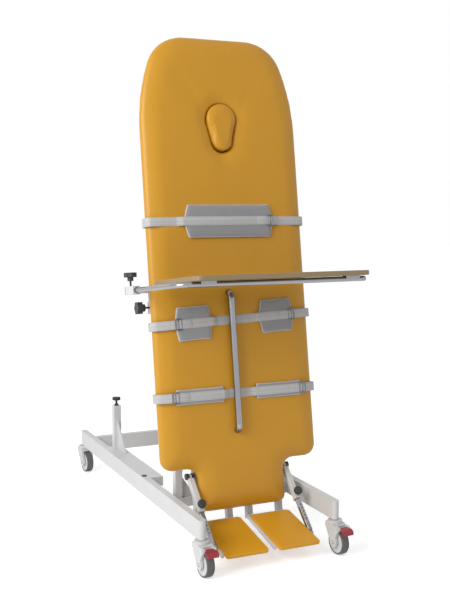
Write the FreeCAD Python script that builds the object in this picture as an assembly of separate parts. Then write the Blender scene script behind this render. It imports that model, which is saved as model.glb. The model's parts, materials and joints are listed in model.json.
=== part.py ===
import FreeCAD, Part
import math
import os

# Physiotherapy tilt table, all lengths in millimetres and all angles in degrees.
# X runs across the bed, Y from the foot end to the head end, Z up.
# The origin is on the floor, midway between the four caster stems.
# The bed is drawn flat in its own frame: x across, y from its foot edge to its head,
# z up from the top of the mattress. It is then turned about the tilt pivot.

# Driving dimensions
bed_length = 1925.0
bed_width = 700.0
foot_width = 386.0
rest_tilt = 81.15
track_width = 570.0
wheel_base = 1540.0
caster_height = 134.0
wheel_diameter = 100.0
pivot_height = 406.0
pivot_y = -370.0
pivot_from_foot_edge = 284.0
pivot_below_top = 151.0
overrun = 5.0
soft_gap = 0.3
slide_gap = 0.15
running_fit = 0.05

# Base frame
rail_height = 73.0
rail_thickness = 30.0
tube_wall = 2.5
rail_end_block = 40.0
rear_crossbar_y = 620.0
middle_crossbar_height = 36.0
middle_crossbar_depth = 40.0
rest_beam_width = 57.0
rest_beam_height = 40.0
rest_beam_front_y = -178.0
rest_beam_rear_y = 400.0
rest_post_x = 240.0
rest_post_y = 373.0
rest_post_size = 34.0
rest_gusset_base = 122.0
rest_gusset_height = 136.0
rest_gusset_thickness = 6.0
buffer_diameter = 38.0
buffer_thickness = 12.0
buffer_stem = 26.0
buffer_stud_diameter = 10.0
lock_nut_diameter = 19.0
lock_nut_height = 7.0
rail_plug_diameter = 22.0
rail_plug_thickness = 3.0
rail_plug_y = -140.0

# Tilt pivot
pivot_post_x = 222.0
pivot_post_size = 30.0
pivot_eye_radius = 22.0
pivot_pin_diameter = 20.0
pivot_side_gap = 3.0
pivot_pin_end = 3.0
brace_height = 90.0
brace_reach = 60.0
brace_thickness = 6.0
lug_thickness = 8.0
lug_length = 80.0

# Bed frame
frame_tube_width = 40.0
frame_tube_height = 40.0
frame_tube_x = 240.0
frame_start = 250.0
frame_end = 1765.0
cross_tube_width = 30.0
foot_cross_y = 318.0
low_rail_cross_y = 430.0
middle_cross_y = 873.0
high_rail_cross_y = 1205.0
head_cross_y = 1700.0
deck_thickness = 12.0
deck_inset = 32.0

# Accessory rails
accessory_rail_face = 312.0
accessory_rail_thickness = 10.0
accessory_rail_height = 25.0
accessory_rail_start = 395.0
accessory_rail_end = 1230.0
accessory_rail_drop = 12.5

# Mattress
mattress_thickness = 55.0
mattress_edge_radius = 24.0
mattress_crown = 6.0
crown_run = 60.0
crown_steps = 3
under_edge_draw = 4.0
under_edge_height = 9.0
least_radius = 2.0
foot_corner_radius = 28.0
notch_radius = 45.0
wing_edge_y = 177.0
wing_corner_radius = 50.0
head_taper_length = 385.0
head_corner_radius = 170.0
head_flat_half = 140.0
edge_steps = 4

# Breathing hole and its plug
face_hole_big_radius = 65.0
face_hole_small_radius = 44.0
face_hole_big_y = 1582.0
face_hole_small_y = 1495.0
face_hole_round = 7.0
plug_gap = 0.6
plug_dome = 4.0
plug_dome_run = 14.0
plug_dome_share = 0.75
deck_hole_inset = 12.0
spigot_gap = 1.0

# Leg separator
separator_diameter = 27.0
separator_wall = 3.0
separator_x = -20.0
separator_axis_height = 22.0
separator_bend_radius = 24.0
separator_hole_gap = 0.8

# Straps and their pads
webbing_width = 36.0
webbing_thickness = 2.0
webbing_bend = 6.0
loop_bend = 1.6
ramp_length = 24.0
pad_thickness = 12.0
pad_edge_round = 3.0
pad_edge_steps = 2
pad_corner_radius = 6.0
loop_slack = 0.4
loop_turn_drop = 5.0
chest_strap_y = 1162.0
chest_pad_half_length = 203.0
chest_pad_height = 140.0
chest_pad_point = 20.0
pelvic_strap_y = 763.0
pelvic_strap_angle = 2.2
pelvic_pad_x = 184.0
pelvic_pad_half_length = 84.0
pelvic_pad_height = 140.0
pelvic_pad_point = 14.0
knee_strap_y = 467.0
knee_pad_x = 184.0
knee_pad_half_length = 114.0
knee_pad_height = 66.0
knee_pad_point = 24.0
buckle_length = 13.0
buckle_side = 3.0
buckle_top = 2.5
buckle_gap = 0.5
buckle_from_tip = 17.0

# Foot supports
carrier_bar_size = 25.0
carrier_inner_x = 45.0
carrier_from_plate_edge = 17.5
carrier_clearance = 0.5
plate_hinge_y = -42.0
plate_hinge_z = -47.0
plate_gap = 45.0
plate_overhang = 6.5
plate_depth = 270.0
plate_thickness = 14.0
plate_setback = 18.0
plate_bottom_rise = 6.0
plate_angle = 19.2
plate_corner_radius = 12.0
plate_edge_round = 3.0
plate_edge_steps = 2
hinge_pin_diameter = 10.0
hinge_lug_thickness = 6.0
hinge_lug_radius = 11.0
knuckle_diameter = 18.0
knuckle_gap = 0.4
arm_thickness = 5.0
arm_rise = 22.0
arm_drop = 4.0
arm_inset = 2.0
arm_length_share = 0.86
arm_nose_radius = 10.0
tie_thickness = 3.0
tie_width = 40.0

# Foot plate struts
strut_from_plate = 12.5
strut_radius = 190.0
strut_top_z = -66.0
strut_tube_size = 24.0
strut_tube_length = 165.0
strut_bar_size = 18.0
strut_bar_length = 195.0
strut_corner_radius = 4.0
strut_eye_diameter = 22.0
strut_eye_width = 10.0
strut_pin_diameter = 8.0
strut_side_gap = 0.5
strut_collar_size = 29.0
strut_collar_length = 9.0
strut_block_depth = 20.0
strut_block_height = 34.0
pivot_cap_diameter = 26.0
pivot_cap_length = 12.0
pin_head_diameter = 11.0
pin_head_length = 3.0
strut_knob_diameter = 34.0
strut_knob_length = 20.0
strut_knob_round = 6.0
strut_knob_stem_diameter = 8.0
strut_knob_stem_length = 9.0
strut_knob_back = 22.0
strut_hole_diameter = 6.0
strut_hole_pitch = 16.0
strut_hole_count = 5
strut_hole_start = 62.0

# Tilt actuator
actuator_pin_back = 87.7
actuator_pin_drop = 50.9
rod_angle_flat = 5.0
clevis_gap = 0.5
clevis_thickness = 8.0
clevis_radius = 20.0
actuator_eye_radius = 18.0
actuator_eye_width = 34.0
actuator_pin_diameter = 16.0
actuator_tube_diameter = 50.0
actuator_tube_start = 27.0
actuator_tube_end = 320.0
actuator_bore_start = 55.0
actuator_bore_gap = 0.06
rod_diameter = 25.0
rod_length = 315.0
rod_eye_radius = 15.0
rod_eye_width = 30.0
rod_pin_diameter = 14.0
motor_diameter = 46.0
motor_length = 120.0
motor_offset = 50.0
gear_case_length = 46.0
gear_case_width = 54.0

# Tray
tray_axis_x = -408.0
tray_axis_y = 897.0
tray_arm_angle = 2.0
tray_tube_diameter = 20.0
tray_tube_bore = 15.0
tray_sleeve_width = 30.0
tray_sleeve_height = 34.0
tray_sleeve_rear = -100.0
tray_sleeve_front = -5.0
sleeve_cap_thickness = 5.0
tray_bore_gap = 0.06
tray_ring_diameter = 26.0
tray_ring_length = 6.0
tray_tail_gap = 3.0
tray_front_run = 430.0
tray_bend_radius = 60.0
tray_tube_end_x = 350.0
tray_board_width = 710.0
tray_board_rear = 35.0
tray_board_front = 480.0
tray_board_thickness = 18.0
tray_board_corner = 25.0
tray_board_edge = 2.0
tray_tab_length = 60.0
tray_tab_width = 26.0
tray_tab_rise = 12.0
tray_tab_thickness = 6.0
tray_side_tab_run = 140.0
tray_side_tab_reach = 95.0
jaw_y = 830.0
jaw_length = 50.0
jaw_wall = 7.0
jaw_outer_wall = 17.6
jaw_lip = 5.6
jaw_gap = 0.4
bracket_bar = 8.0
bracket_arm_depth = 28.0
bracket_arm_height = 18.0
bracket_arm_setback = 2.0
clamp_knob_diameter = 52.0
clamp_knob_length = 22.0
clamp_hub_diameter = 30.0
clamp_hub_length = 13.0
clamp_screw_bare = 20.0
lock_knob_z = -75.0
lock_knob_diameter = 52.0
lock_knob_length = 18.0
lock_hub_diameter = 24.0
lock_hub_length = 15.0
lock_screw_bare = 21.0
screw_diameter = 8.0
screw_gap = 0.1
screw_tip_gap = 0.3
knob_lobe_count = 6
knob_lobe_diameter = 18.0
knob_lobe_sink = 3.5

# Casters
caster_trail = 28.0
tyre_width = 32.0
tyre_depth = 7.0
tyre_edge_radius = 4.0
hub_width = 30.0
axle_diameter = 12.0
fork_width = 56.0
fork_slot = 36.0
fork_axle_radius = 20.0
fork_top_half = 27.0
fork_shoulder_height = 106.0
fork_top_height = 121.0
fork_collar_diameter = 58.0
fork_wheel_gap = 5.0
stem_diameter = 14.0
stem_flange_diameter = 30.0
stem_flange_height = 3.0
stem_flange_gap = 0.6
stem_rail_depth = 35.0
stem_fork_depth = 20.0
pedal_forward = 58.0
pedal_height = 108.0
pedal_cheek_radius = 8.0
pedal_barrel_radius = 6.0
pedal_pin_diameter = 5.0
pedal_side_gap = 0.5
pedal_reach = 35.0
pedal_drop = 14.0
pedal_thickness = 6.0
pedal_width = 52.0
pedal_arch = 7.0
pedal_corner_radius = 12.0
front_caster_angle = -4.0
rear_caster_angle = -6.0

# Sizes worked out from the values above
rail_bottom = caster_height
rail_top = caster_height + rail_height
rail_x = track_width / 2
rail_inner_x = rail_x - rail_thickness / 2
stem_y = wheel_base / 2
wheel_radius = wheel_diameter / 2
middle_crossbar_top = rail_bottom + middle_crossbar_height
deck_top = -mattress_thickness - soft_gap
frame_top = deck_top - deck_thickness
frame_bottom = frame_top - frame_tube_height
rest_height = pivot_height + pivot_below_top + frame_bottom - soft_gap
rest_post_top = rest_height - buffer_thickness - buffer_stem
head_side_y = bed_length - head_taper_length
accessory_rail_top = frame_top - accessory_rail_drop
accessory_rail_z = accessory_rail_top - accessory_rail_height / 2
carrier_z = frame_top - carrier_clearance - carrier_bar_size / 2
plate_inner_x = plate_gap / 2
plate_outer_x = foot_width / 2 + plate_overhang
plate_width = plate_outer_x - plate_inner_x
carrier_outer_x = plate_outer_x - carrier_from_plate_edge
strut_x = plate_outer_x + strut_from_plate
plate_middle_x = plate_inner_x + plate_width / 2
strut_top_y = plate_hinge_y + math.sqrt(strut_radius**2 - (strut_top_z - plate_hinge_z)**2)
pivot_post_outer_x = pivot_post_x + pivot_post_size / 2
actuator_pin_z = middle_crossbar_top - actuator_pin_drop
actuator_radius = math.hypot(actuator_pin_back, pivot_height - actuator_pin_z)
lug_x = pivot_post_outer_x + pivot_side_gap

X_AXIS = FreeCAD.Vector(1, 0, 0)
Y_AXIS = FreeCAD.Vector(0, 1, 0)
Z_AXIS = FreeCAD.Vector(0, 0, 1)
QUARTER = 90.0
HALF_TURN = 180.0
FULL_TURN = 360.0
SIDES = (("left", -1), ("right", 1))
TOUCH_SHARE = 1e-5


def vec(x, y, z):
    return FreeCAD.Vector(x, y, z)


def box(x0, x1, y0, y1, z0, z1):
    return Part.makeBox(x1 - x0, y1 - y0, z1 - z0, vec(x0, y0, z0))


def centred_box(x, y, width, depth, z0, z1):
    return box(x - width / 2, x + width / 2, y - depth / 2, y + depth / 2, z0, z1)


def rod(diameter, start, end):
    """A round bar from one point to another."""
    along = end - start
    return Part.makeCylinder(diameter / 2, along.Length, start, along)


def x_rod(diameter, y, z, x0, x1):
    return rod(diameter, vec(x0, y, z), vec(x1, y, z))


def z_rod(diameter, x, y, z0, z1):
    return rod(diameter, vec(x, y, z0), vec(x, y, z1))


def fuse(first, *others):
    return first.multiFuse(list(others)).removeSplitter()


def cut(body, *tools):
    result = body
    for tool in tools:
        result = result.cut(tool)
    return result


def prism(points, along):
    """A prism on a closed polygon of vectors, swept along a vector."""
    wire = Part.makePolygon(list(points) + [points[0]])
    return Part.Face(wire).extrude(along)


def x_prism(outline, x0, x1):
    """A prism across the bed on an outline of y and z pairs."""
    return prism([vec(x0, y, z) for y, z in outline], vec(x1 - x0, 0, 0))


def hollow(x0, x1, y0, y1, z0, z1, ends):
    """A closed box section; ends holds its end thicknesses along x, y and z."""
    inner = box(
        x0 + ends[0], x1 - ends[0], y0 + ends[1], y1 - ends[1], z0 + ends[2], z1 - ends[2]
    )
    return box(x0, x1, y0, y1, z0, z1).cut(inner)


def mirrored(shape):
    return shape.mirror(vec(0, 0, 0), X_AXIS)


def for_side(shape, side):
    """Every side piece is drawn on the right and mirrored for the left."""
    return shape if side > 0 else mirrored(shape)


def moved(shape, placement):
    return shape.transformed(placement.toMatrix(), True)


def turned_about_x(angle, origin):
    return FreeCAD.Placement(origin, FreeCAD.Rotation(X_AXIS, angle))


def bed_placement():
    pivot = turned_about_x(rest_tilt, vec(0, pivot_y, pivot_height))
    shift = FreeCAD.Placement(vec(0, -pivot_from_foot_edge, pivot_below_top), FreeCAD.Rotation())
    return pivot.multiply(shift)


def plate_placement():
    """Foot plate frame: origin on the hinge, Y away from the toes, Z up from the plate."""
    hinge = turned_about_x(plate_angle - QUARTER, vec(0, plate_hinge_y, plate_hinge_z))
    return bed_placement().multiply(hinge)


def tray_placement():
    """Tray frame: origin on the arm axis, Z forward along the arm, Y up the bed."""
    return bed_placement().multiply(turned_about_x(tray_arm_angle, vec(tray_axis_x, tray_axis_y, 0)))


def aimed(start, end):
    """A frame at start whose Z axis points to end; both lie in one plane across X."""
    along = end - start
    return turned_about_x(math.degrees(math.atan2(-along.y, along.z)), start)


def save(name, *shapes):
    body = shapes[0] if len(shapes) == 1 else Part.makeCompound(list(shapes))
    body.exportStep("parts/" + name + ".step")


def save_on(placement, name, *shapes):
    save(name, *[moved(shape, placement) for shape in shapes])


def arc(centre, radius, start_angle, end_angle):
    """An arc in a level plane, given by its angles about a centre."""
    angles = (start_angle, (start_angle + end_angle) / 2, end_angle)
    spokes = [FreeCAD.Rotation(Z_AXIS, angle).multVec(vec(radius, 0, 0)) for angle in angles]
    return Part.Arc(*[centre + spoke for spoke in spokes]).toShape()


def joined_outline(pieces):
    """A closed wire of arcs in order, with straight edges where their ends are apart."""
    edges = []
    for index, piece in enumerate(pieces):
        following = pieces[(index + 1) % len(pieces)]
        start = piece.valueAt(piece.LastParameter)
        end = following.valueAt(following.FirstParameter)
        edges.append(piece)
        if start.distanceToPoint(end) > TOUCH_SHARE * bed_length:
            edges.append(Part.LineSegment(start, end).toShape())
    return Part.Wire(edges)


def rounded_outline(points, radius, inset, height):
    """A convex polygon of x and y pairs, anticlockwise, with round corners, drawn in by inset."""
    arcs = []
    for index, (x, y) in enumerate(points):
        corner = vec(x, y, height)
        before = vec(*points[index - 1], height) - corner
        after = vec(*points[(index + 1) % len(points)], height) - corner
        before.normalize()
        after.normalize()
        half = before.getAngle(after) / 2
        middle = before + after
        middle.normalize()
        centre = corner + middle * (radius / math.sin(half))
        start = math.degrees(math.atan2(-before.y, -before.x)) - QUARTER
        sweep = HALF_TURN - math.degrees(2 * half)
        arcs.append(arc(centre, radius - inset, start, start + sweep))
    return joined_outline(arcs)


def plate_solid(outline, height):
    """A plate on a level wire, as thick as height."""
    return Part.Face(outline).extrude(vec(0, 0, height))


def round_edges(radius, steps):
    """Pairs of inset and drop round a quarter circle, from the side up to the top."""
    angles = [math.radians(QUARTER * step / steps) for step in range(steps + 1)]
    return [(radius * (1 - math.cos(a)), radius * (1 - math.sin(a))) for a in angles]


def loft(sections):
    return Part.makeLoft(sections, True, True)


def tube_path(points, radii):
    """A wire of straight runs with a tangent arc at each inner point."""
    edges = []
    last = points[0]
    for index in range(1, len(points) - 1):
        corner = points[index]
        back = points[index - 1] - corner
        ahead = points[index + 1] - corner
        back.normalize()
        ahead.normalize()
        half = back.getAngle(ahead) / 2
        radius = radii[index - 1]
        reach = radius / math.tan(half)
        middle = back + ahead
        middle.normalize()
        start = corner + back * reach
        end = corner + ahead * reach
        crest = corner + middle * (radius / math.sin(half) - radius)
        edges.append(Part.LineSegment(last, start).toShape())
        edges.append(Part.Arc(start, crest, end).toShape())
        last = end
    edges.append(Part.LineSegment(last, points[-1]).toShape())
    return edges


def bent_tube(points, radii, diameter):
    """A round bar along straight runs and tangent arcs."""
    wire = Part.Wire(tube_path(points, radii))
    along = points[1] - points[0]
    circle = Part.Wire(Part.makeCircle(diameter / 2, points[0], along))
    return wire.makePipeShell([circle], True, False)


def side_rail():
    outer = fuse(
        box(rail_inner_x, rail_x + rail_thickness / 2, -stem_y, stem_y, rail_bottom, rail_top),
        z_rod(rail_thickness, rail_x, -stem_y, rail_bottom, rail_top),
        z_rod(rail_thickness, rail_x, stem_y, rail_bottom, rail_top),
    )
    half = rail_thickness / 2 - tube_wall
    reach = stem_y - rail_end_block
    inner = box(
        rail_x - half, rail_x + half, -reach, reach, rail_bottom + tube_wall, rail_top - tube_wall
    )
    bore = stem_diameter + 2 * running_fit
    seats = [
        z_rod(bore, rail_x, y, rail_bottom - overrun, rail_bottom + stem_rail_depth)
        for y in (-stem_y, stem_y)
    ]
    return cut(outer, inner, *seats)


def rest_frame():
    """The beam along the inside of a rail, with the post that the lowered bed rests on."""
    beam_top = rail_top
    post = hollow(
        rest_post_x - rest_post_size / 2, rest_post_x + rest_post_size / 2,
        rest_post_y - rest_post_size / 2, rest_post_y + rest_post_size / 2,
        beam_top, rest_post_top, (tube_wall, tube_wall, buffer_stud_diameter),
    )
    seat = z_rod(buffer_stud_diameter + 2 * running_fit, rest_post_x, rest_post_y,
                 rest_post_top - buffer_stud_diameter, rest_post_top + overrun)
    front = rest_post_y - rest_post_size / 2
    gusset = x_prism(
        [(front, beam_top), (front, beam_top + rest_gusset_height), (front - rest_gusset_base, beam_top)],
        rest_post_x - rest_gusset_thickness / 2, rest_post_x + rest_gusset_thickness / 2,
    )
    beam = hollow(
        rail_inner_x - rest_beam_width, rail_inner_x, rest_beam_front_y, rest_beam_rear_y,
        beam_top - rest_beam_height, beam_top, (tube_wall, tube_wall, tube_wall),
    )
    return fuse(beam, post.cut(seat), gusset)


def rest_buffer():
    """Rubber pad on a threaded stud with a lock nut, set in the top of a rest post."""
    x, y, top = rest_post_x, rest_post_y, rest_height
    return fuse(
        z_rod(buffer_diameter, x, y, top - buffer_thickness, top),
        z_rod(buffer_stud_diameter, x, y, rest_post_top - buffer_stud_diameter, top - buffer_thickness),
        z_rod(lock_nut_diameter, x, y, rest_post_top, rest_post_top + lock_nut_height),
    )


def pivot_post():
    """Upright that carries one side of the tilt pivot, with a brace on its inner side."""
    half = pivot_post_size / 2
    low, high = pivot_post_x - half, pivot_post_x + half
    post = box(low, high, pivot_y - half, pivot_y + half, middle_crossbar_top, pivot_height)
    eye = x_rod(2 * pivot_eye_radius, pivot_y, pivot_height, low, high)
    face = pivot_y - brace_thickness / 2
    brace = prism(
        [vec(low, face, middle_crossbar_top), vec(low - brace_reach, face, middle_crossbar_top),
         vec(low, face, middle_crossbar_top + brace_height)],
        vec(0, brace_thickness, 0),
    )
    bore = x_rod(pivot_pin_diameter + 2 * running_fit, pivot_y, pivot_height, low - overrun, high + overrun)
    return fuse(post, eye, brace).cut(bore)


def actuator_base():
    """Centre of the lower actuator pin."""
    return vec(0, pivot_y + actuator_pin_back, actuator_pin_z)


def rod_end_on_bed():
    """Centre of the upper actuator pin in the bed frame, as far from the pivot as the lower pin."""
    angle = math.radians(rod_angle_flat)
    y = pivot_from_foot_edge + actuator_radius * math.cos(angle)
    return vec(0, y, -pivot_below_top + actuator_radius * math.sin(angle))


def middle_crossbar():
    """Box section between the rails, with a block below it that carries the lower actuator pin."""
    front = pivot_y - middle_crossbar_depth / 2
    rear = pivot_y + middle_crossbar_depth / 2
    beam = hollow(
        -rail_inner_x, rail_inner_x, front, rear,
        rail_bottom, middle_crossbar_top, (tube_wall, tube_wall, tube_wall),
    )
    centre = actuator_base()
    inner = actuator_eye_width / 2 + clevis_gap
    outer = inner + clevis_thickness
    block = box(-outer, outer, front, rear, centre.z - clevis_radius, rail_bottom + tube_wall)
    pieces = [block, x_rod(actuator_pin_diameter, centre.y, centre.z, -outer, outer)]
    for side in (-1, 1):
        x0, x1 = sorted((side * inner, side * outer))
        pieces.append(box(x0, x1, rear, centre.y, centre.z - clevis_radius, centre.z + clevis_radius))
        pieces.append(x_rod(2 * clevis_radius, centre.y, centre.z, x0, x1))
    return fuse(beam, *pieces)


def rear_crossbar():
    return hollow(
        -rail_inner_x, rail_inner_x, rear_crossbar_y - rail_thickness / 2,
        rear_crossbar_y + rail_thickness / 2, rail_bottom, rail_top, (tube_wall, tube_wall, tube_wall),
    )


def rail_plug():
    return z_rod(rail_plug_diameter, rail_x, rail_plug_y, rail_top, rail_top + rail_plug_thickness)


def caster_frame(x, y, turn):
    """Frame of one caster: origin on the floor under its stem, wheel towards minus Y."""
    return FreeCAD.Placement(vec(x, y, 0), FreeCAD.Rotation(Z_AXIS, -turn))


def caster_stem():
    flange_bottom = rail_bottom - stem_flange_height
    return fuse(
        z_rod(stem_diameter, 0, 0, rail_bottom - stem_fork_depth, rail_bottom + stem_rail_depth),
        z_rod(stem_flange_diameter, 0, 0, flange_bottom, rail_bottom),
    )


def caster_fork(with_pedal):
    half = fork_width / 2
    collar_top = rail_bottom - stem_flange_height - stem_flange_gap
    side = [
        (-caster_trail - fork_axle_radius, wheel_radius),
        (-fork_top_half, fork_top_height),
        (fork_top_half, fork_top_height),
        (fork_top_half, fork_shoulder_height),
        (-caster_trail + fork_axle_radius, wheel_radius),
    ]
    cheeks = x_prism(side, -half, half)
    toe = x_rod(2 * fork_axle_radius, -caster_trail, wheel_radius, -half, half)
    collar = z_rod(fork_collar_diameter, 0, 0, fork_top_height, collar_top)
    pieces = [toe, collar]
    if with_pedal:
        lug = [
            (0, fork_top_height),
            (-pedal_forward, pedal_height + pedal_cheek_radius),
            (-pedal_forward, pedal_height - pedal_cheek_radius),
            (-caster_trail, wheel_radius),
        ]
        pieces.append(x_prism(lug, -half, half))
        pieces.append(x_rod(2 * pedal_cheek_radius, -pedal_forward, pedal_height, -half, half))
    body = fuse(cheeks, *pieces)
    slot = fork_slot / 2
    gap_radius = wheel_radius + fork_wheel_gap
    tools = [
        x_rod(2 * gap_radius, -caster_trail, wheel_radius, -slot, slot),
        z_rod(stem_diameter + 2 * running_fit, 0, 0, rail_bottom - stem_fork_depth, rail_bottom),
    ]
    if with_pedal:
        tools.append(box(-slot, slot, -pedal_forward - gap_radius, -pedal_forward + 2 * pedal_cheek_radius,
                         0, fork_top_height + overrun))
        bore = pedal_pin_diameter + 2 * running_fit
        tools.append(x_rod(bore, -pedal_forward, pedal_height, -half - overrun, half + overrun))
    axle = x_rod(axle_diameter, -caster_trail, wheel_radius, -half, half)
    return fuse(cut(body, *tools), axle)


def wheel_ring(outer, inner, width):
    ring = x_rod(outer, -caster_trail, wheel_radius, -width / 2, width / 2)
    return ring.cut(x_rod(inner, -caster_trail, wheel_radius, -width, width))


def caster_tyre():
    inner = wheel_diameter - 2 * tyre_depth
    ring = x_rod(wheel_diameter, -caster_trail, wheel_radius, -tyre_width / 2, tyre_width / 2)
    rims = [edge for edge in ring.Edges if hasattr(edge.Curve, "Radius")]
    ring = ring.makeFillet(tyre_edge_radius, rims)
    return ring.cut(x_rod(inner, -caster_trail, wheel_radius, -tyre_width, tyre_width))


def caster_hub():
    outer = wheel_diameter - 2 * tyre_depth - 2 * running_fit
    return wheel_ring(outer, axle_diameter + 2 * running_fit, hub_width)


def arched_tread(half_width):
    """An arched plate from the pedal pin to the pedal tip, between two sides of the caster."""
    half = pedal_thickness / 2
    tip_y = -pedal_forward - pedal_reach
    tip_z = pedal_height - pedal_drop
    middle_y = (tip_y - pedal_forward) / 2
    middle_z = (tip_z + pedal_height) / 2 + pedal_arch
    curves = []
    for lift in (half, -half):
        points = [(-pedal_forward, pedal_height), (middle_y, middle_z), (tip_y, tip_z)]
        curves.append(Part.Arc(*[vec(-half_width, y, z + lift) for y, z in points]).toShape())
    upper, lower = curves
    ends = [
        Part.makeLine(upper.Vertexes[index].Point, lower.Vertexes[index].Point) for index in (0, 1)
    ]
    outline = Part.Wire(Part.__sortEdges__([upper, lower, *ends]))
    return Part.Face(outline).extrude(vec(2 * half_width, 0, 0))


def caster_pedal():
    """Brake pedal: a barrel on a pin between the fork's cheeks, with an arched round-cornered tread."""
    barrel_half = fork_slot / 2 - pedal_side_gap
    half = pedal_width / 2
    back = -pedal_forward - pedal_cheek_radius - pedal_side_gap
    tip = -pedal_forward - pedal_reach - overrun
    corners = [(-half, tip), (half, tip), (half, back), (-half, back)]
    plan = rounded_outline(corners, pedal_corner_radius, 0, 0)
    return fuse(
        arched_tread(half).common(plate_solid(plan, caster_height)),
        arched_tread(barrel_half),
        x_rod(2 * pedal_barrel_radius, -pedal_forward, pedal_height, -barrel_half, barrel_half),
        x_rod(pedal_pin_diameter, -pedal_forward, pedal_height, -fork_width / 2, fork_width / 2),
    )


def build_base():
    for name, side in SIDES:
        save("side_rail_" + name, for_side(side_rail(), side))
        save("rest_frame_" + name, for_side(rest_frame(), side))
        save("pivot_post_" + name, for_side(pivot_post(), side))
    save("rest_buffers", rest_buffer(), mirrored(rest_buffer()))
    save("rail_plugs", rail_plug(), mirrored(rail_plug()))
    save("middle_crossbar", middle_crossbar())
    save("rear_crossbar", rear_crossbar())


def build_casters():
    stems = []
    for end, y, turn in (("front", -stem_y, front_caster_angle), ("rear", stem_y, rear_caster_angle)):
        for name, side in SIDES:
            place = caster_frame(side * rail_x, y, turn)
            label = end + "_" + name
            save_on(place, "caster_fork_" + label, caster_fork(end == "front"))
            save_on(place, "caster_tyre_" + label, caster_tyre())
            save_on(place, "caster_hub_" + label, caster_hub())
            if end == "front":
                save_on(place, "brake_pedal_" + name, caster_pedal())
            stems.append(moved(caster_stem(), place))
    save("caster_stems", *stems)


def corner_arc(centre, radius, inset, outward, start, end):
    """A corner of the bed outline drawn in by inset, never tighter than the least radius."""
    left_over = radius - inset
    if left_over < least_radius:
        step = inset + least_radius - radius
        centre = centre - vec(outward[0] * step, outward[1] * step, 0)
        left_over = least_radius
    return arc(centre, left_over, start, end)


def half_outline(inset):
    """Right half of the mattress outline, from the foot edge to the head edge."""
    half_foot = foot_width / 2
    half_bed = bed_width / 2
    foot_centre = vec(half_foot - foot_corner_radius, foot_corner_radius, 0)
    notch_centre = vec(half_foot + notch_radius, wing_edge_y - notch_radius, 0)
    wing_centre = vec(half_bed - wing_corner_radius, wing_edge_y + wing_corner_radius, 0)
    corner_centre = vec(head_flat_half, bed_length - head_corner_radius, 0)
    rise = corner_centre.y - head_side_y
    run = half_bed - head_flat_half
    taper_radius = (run**2 + rise**2 - head_corner_radius**2) / (2 * (run - head_corner_radius))
    taper_centre = vec(half_bed - taper_radius, head_side_y, 0)
    meet = math.degrees(math.atan2(rise, corner_centre.x - taper_centre.x))
    return [
        corner_arc(foot_centre, foot_corner_radius, inset, (1, -1), -QUARTER, 0),
        arc(notch_centre, notch_radius + inset, HALF_TURN, QUARTER),
        corner_arc(wing_centre, wing_corner_radius, inset, (1, -1), -QUARTER, 0),
        arc(taper_centre, taper_radius - inset, 0, meet),
        arc(corner_centre, head_corner_radius - inset, meet, QUARTER),
    ]


def mirrored_arc(edge):
    """The arc on the other side of the bed, run the same way round the outline."""
    middle = (edge.FirstParameter + edge.LastParameter) / 2
    points = [edge.valueAt(at) for at in (edge.LastParameter, middle, edge.FirstParameter)]
    return Part.Arc(*[vec(-point.x, point.y, point.z) for point in points]).toShape()


def bed_outline(inset, height):
    """The mattress outline drawn in by an inset, at a height."""
    right = half_outline(inset)
    wire = joined_outline(right + [mirrored_arc(edge) for edge in reversed(right)])
    return wire.translated(vec(0, 0, height))


def egg_outline(growth, height):
    """Outline of the breathing hole: two round ends joined by tangents."""
    big = face_hole_big_radius + growth
    small = face_hole_small_radius + growth
    lean = math.degrees(math.asin((big - small) / (face_hole_big_y - face_hole_small_y)))
    big_centre = vec(0, face_hole_big_y, height)
    small_centre = vec(0, face_hole_small_y, height)
    return joined_outline([
        arc(big_centre, big, -lean, QUARTER),
        arc(big_centre, big, QUARTER, HALF_TURN + lean),
        arc(small_centre, small, HALF_TURN + lean, HALF_TURN + QUARTER),
        arc(small_centre, small, -QUARTER, -lean),
    ])


def separator_ends():
    """The leg separator's two legs pass through the mattress at these places."""
    return (foot_cross_y, middle_cross_y)


def mattress():
    """Padded top with rounded edges, a slight crown and a drawn in underside."""
    bottom = -mattress_thickness
    edge_top = -mattress_crown
    sections = [bed_outline(under_edge_draw, bottom), bed_outline(0, bottom + under_edge_height)]
    for inset, drop in round_edges(mattress_edge_radius, edge_steps):
        sections.append(bed_outline(inset, edge_top - drop))
    for step in range(1, crown_steps + 1):
        share = step / crown_steps
        height = edge_top + mattress_crown * (1 - (1 - share)**2)
        sections.append(bed_outline(mattress_edge_radius + crown_run * share, height))
    hole = [egg_outline(0, bottom - overrun)]
    for inset, drop in round_edges(face_hole_round, edge_steps):
        hole.append(egg_outline(inset, -drop))
    hole.append(egg_outline(face_hole_round, overrun))
    width = separator_diameter + 2 * separator_hole_gap
    legs = [z_rod(width, separator_x, y, bottom - overrun, overrun) for y in separator_ends()]
    return cut(loft(sections), loft(hole), *legs)


def face_plug():
    """Padded stopper of the breathing hole, with a spigot that seats it in the deck."""
    sections = [egg_outline(-plug_gap, -mattress_thickness)]
    for inset, drop in round_edges(face_hole_round, edge_steps):
        sections.append(egg_outline(-plug_gap - inset, -drop))
    dome_inset = plug_gap + face_hole_round + plug_dome_run
    sections.append(egg_outline(-dome_inset + plug_dome_run / 2, plug_dome * plug_dome_share))
    sections.append(egg_outline(-dome_inset, plug_dome))
    spigot_outline = egg_outline(-deck_hole_inset - spigot_gap, frame_top)
    spigot = plate_solid(spigot_outline, -frame_top - mattress_thickness)
    return fuse(loft(sections), spigot)


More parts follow.
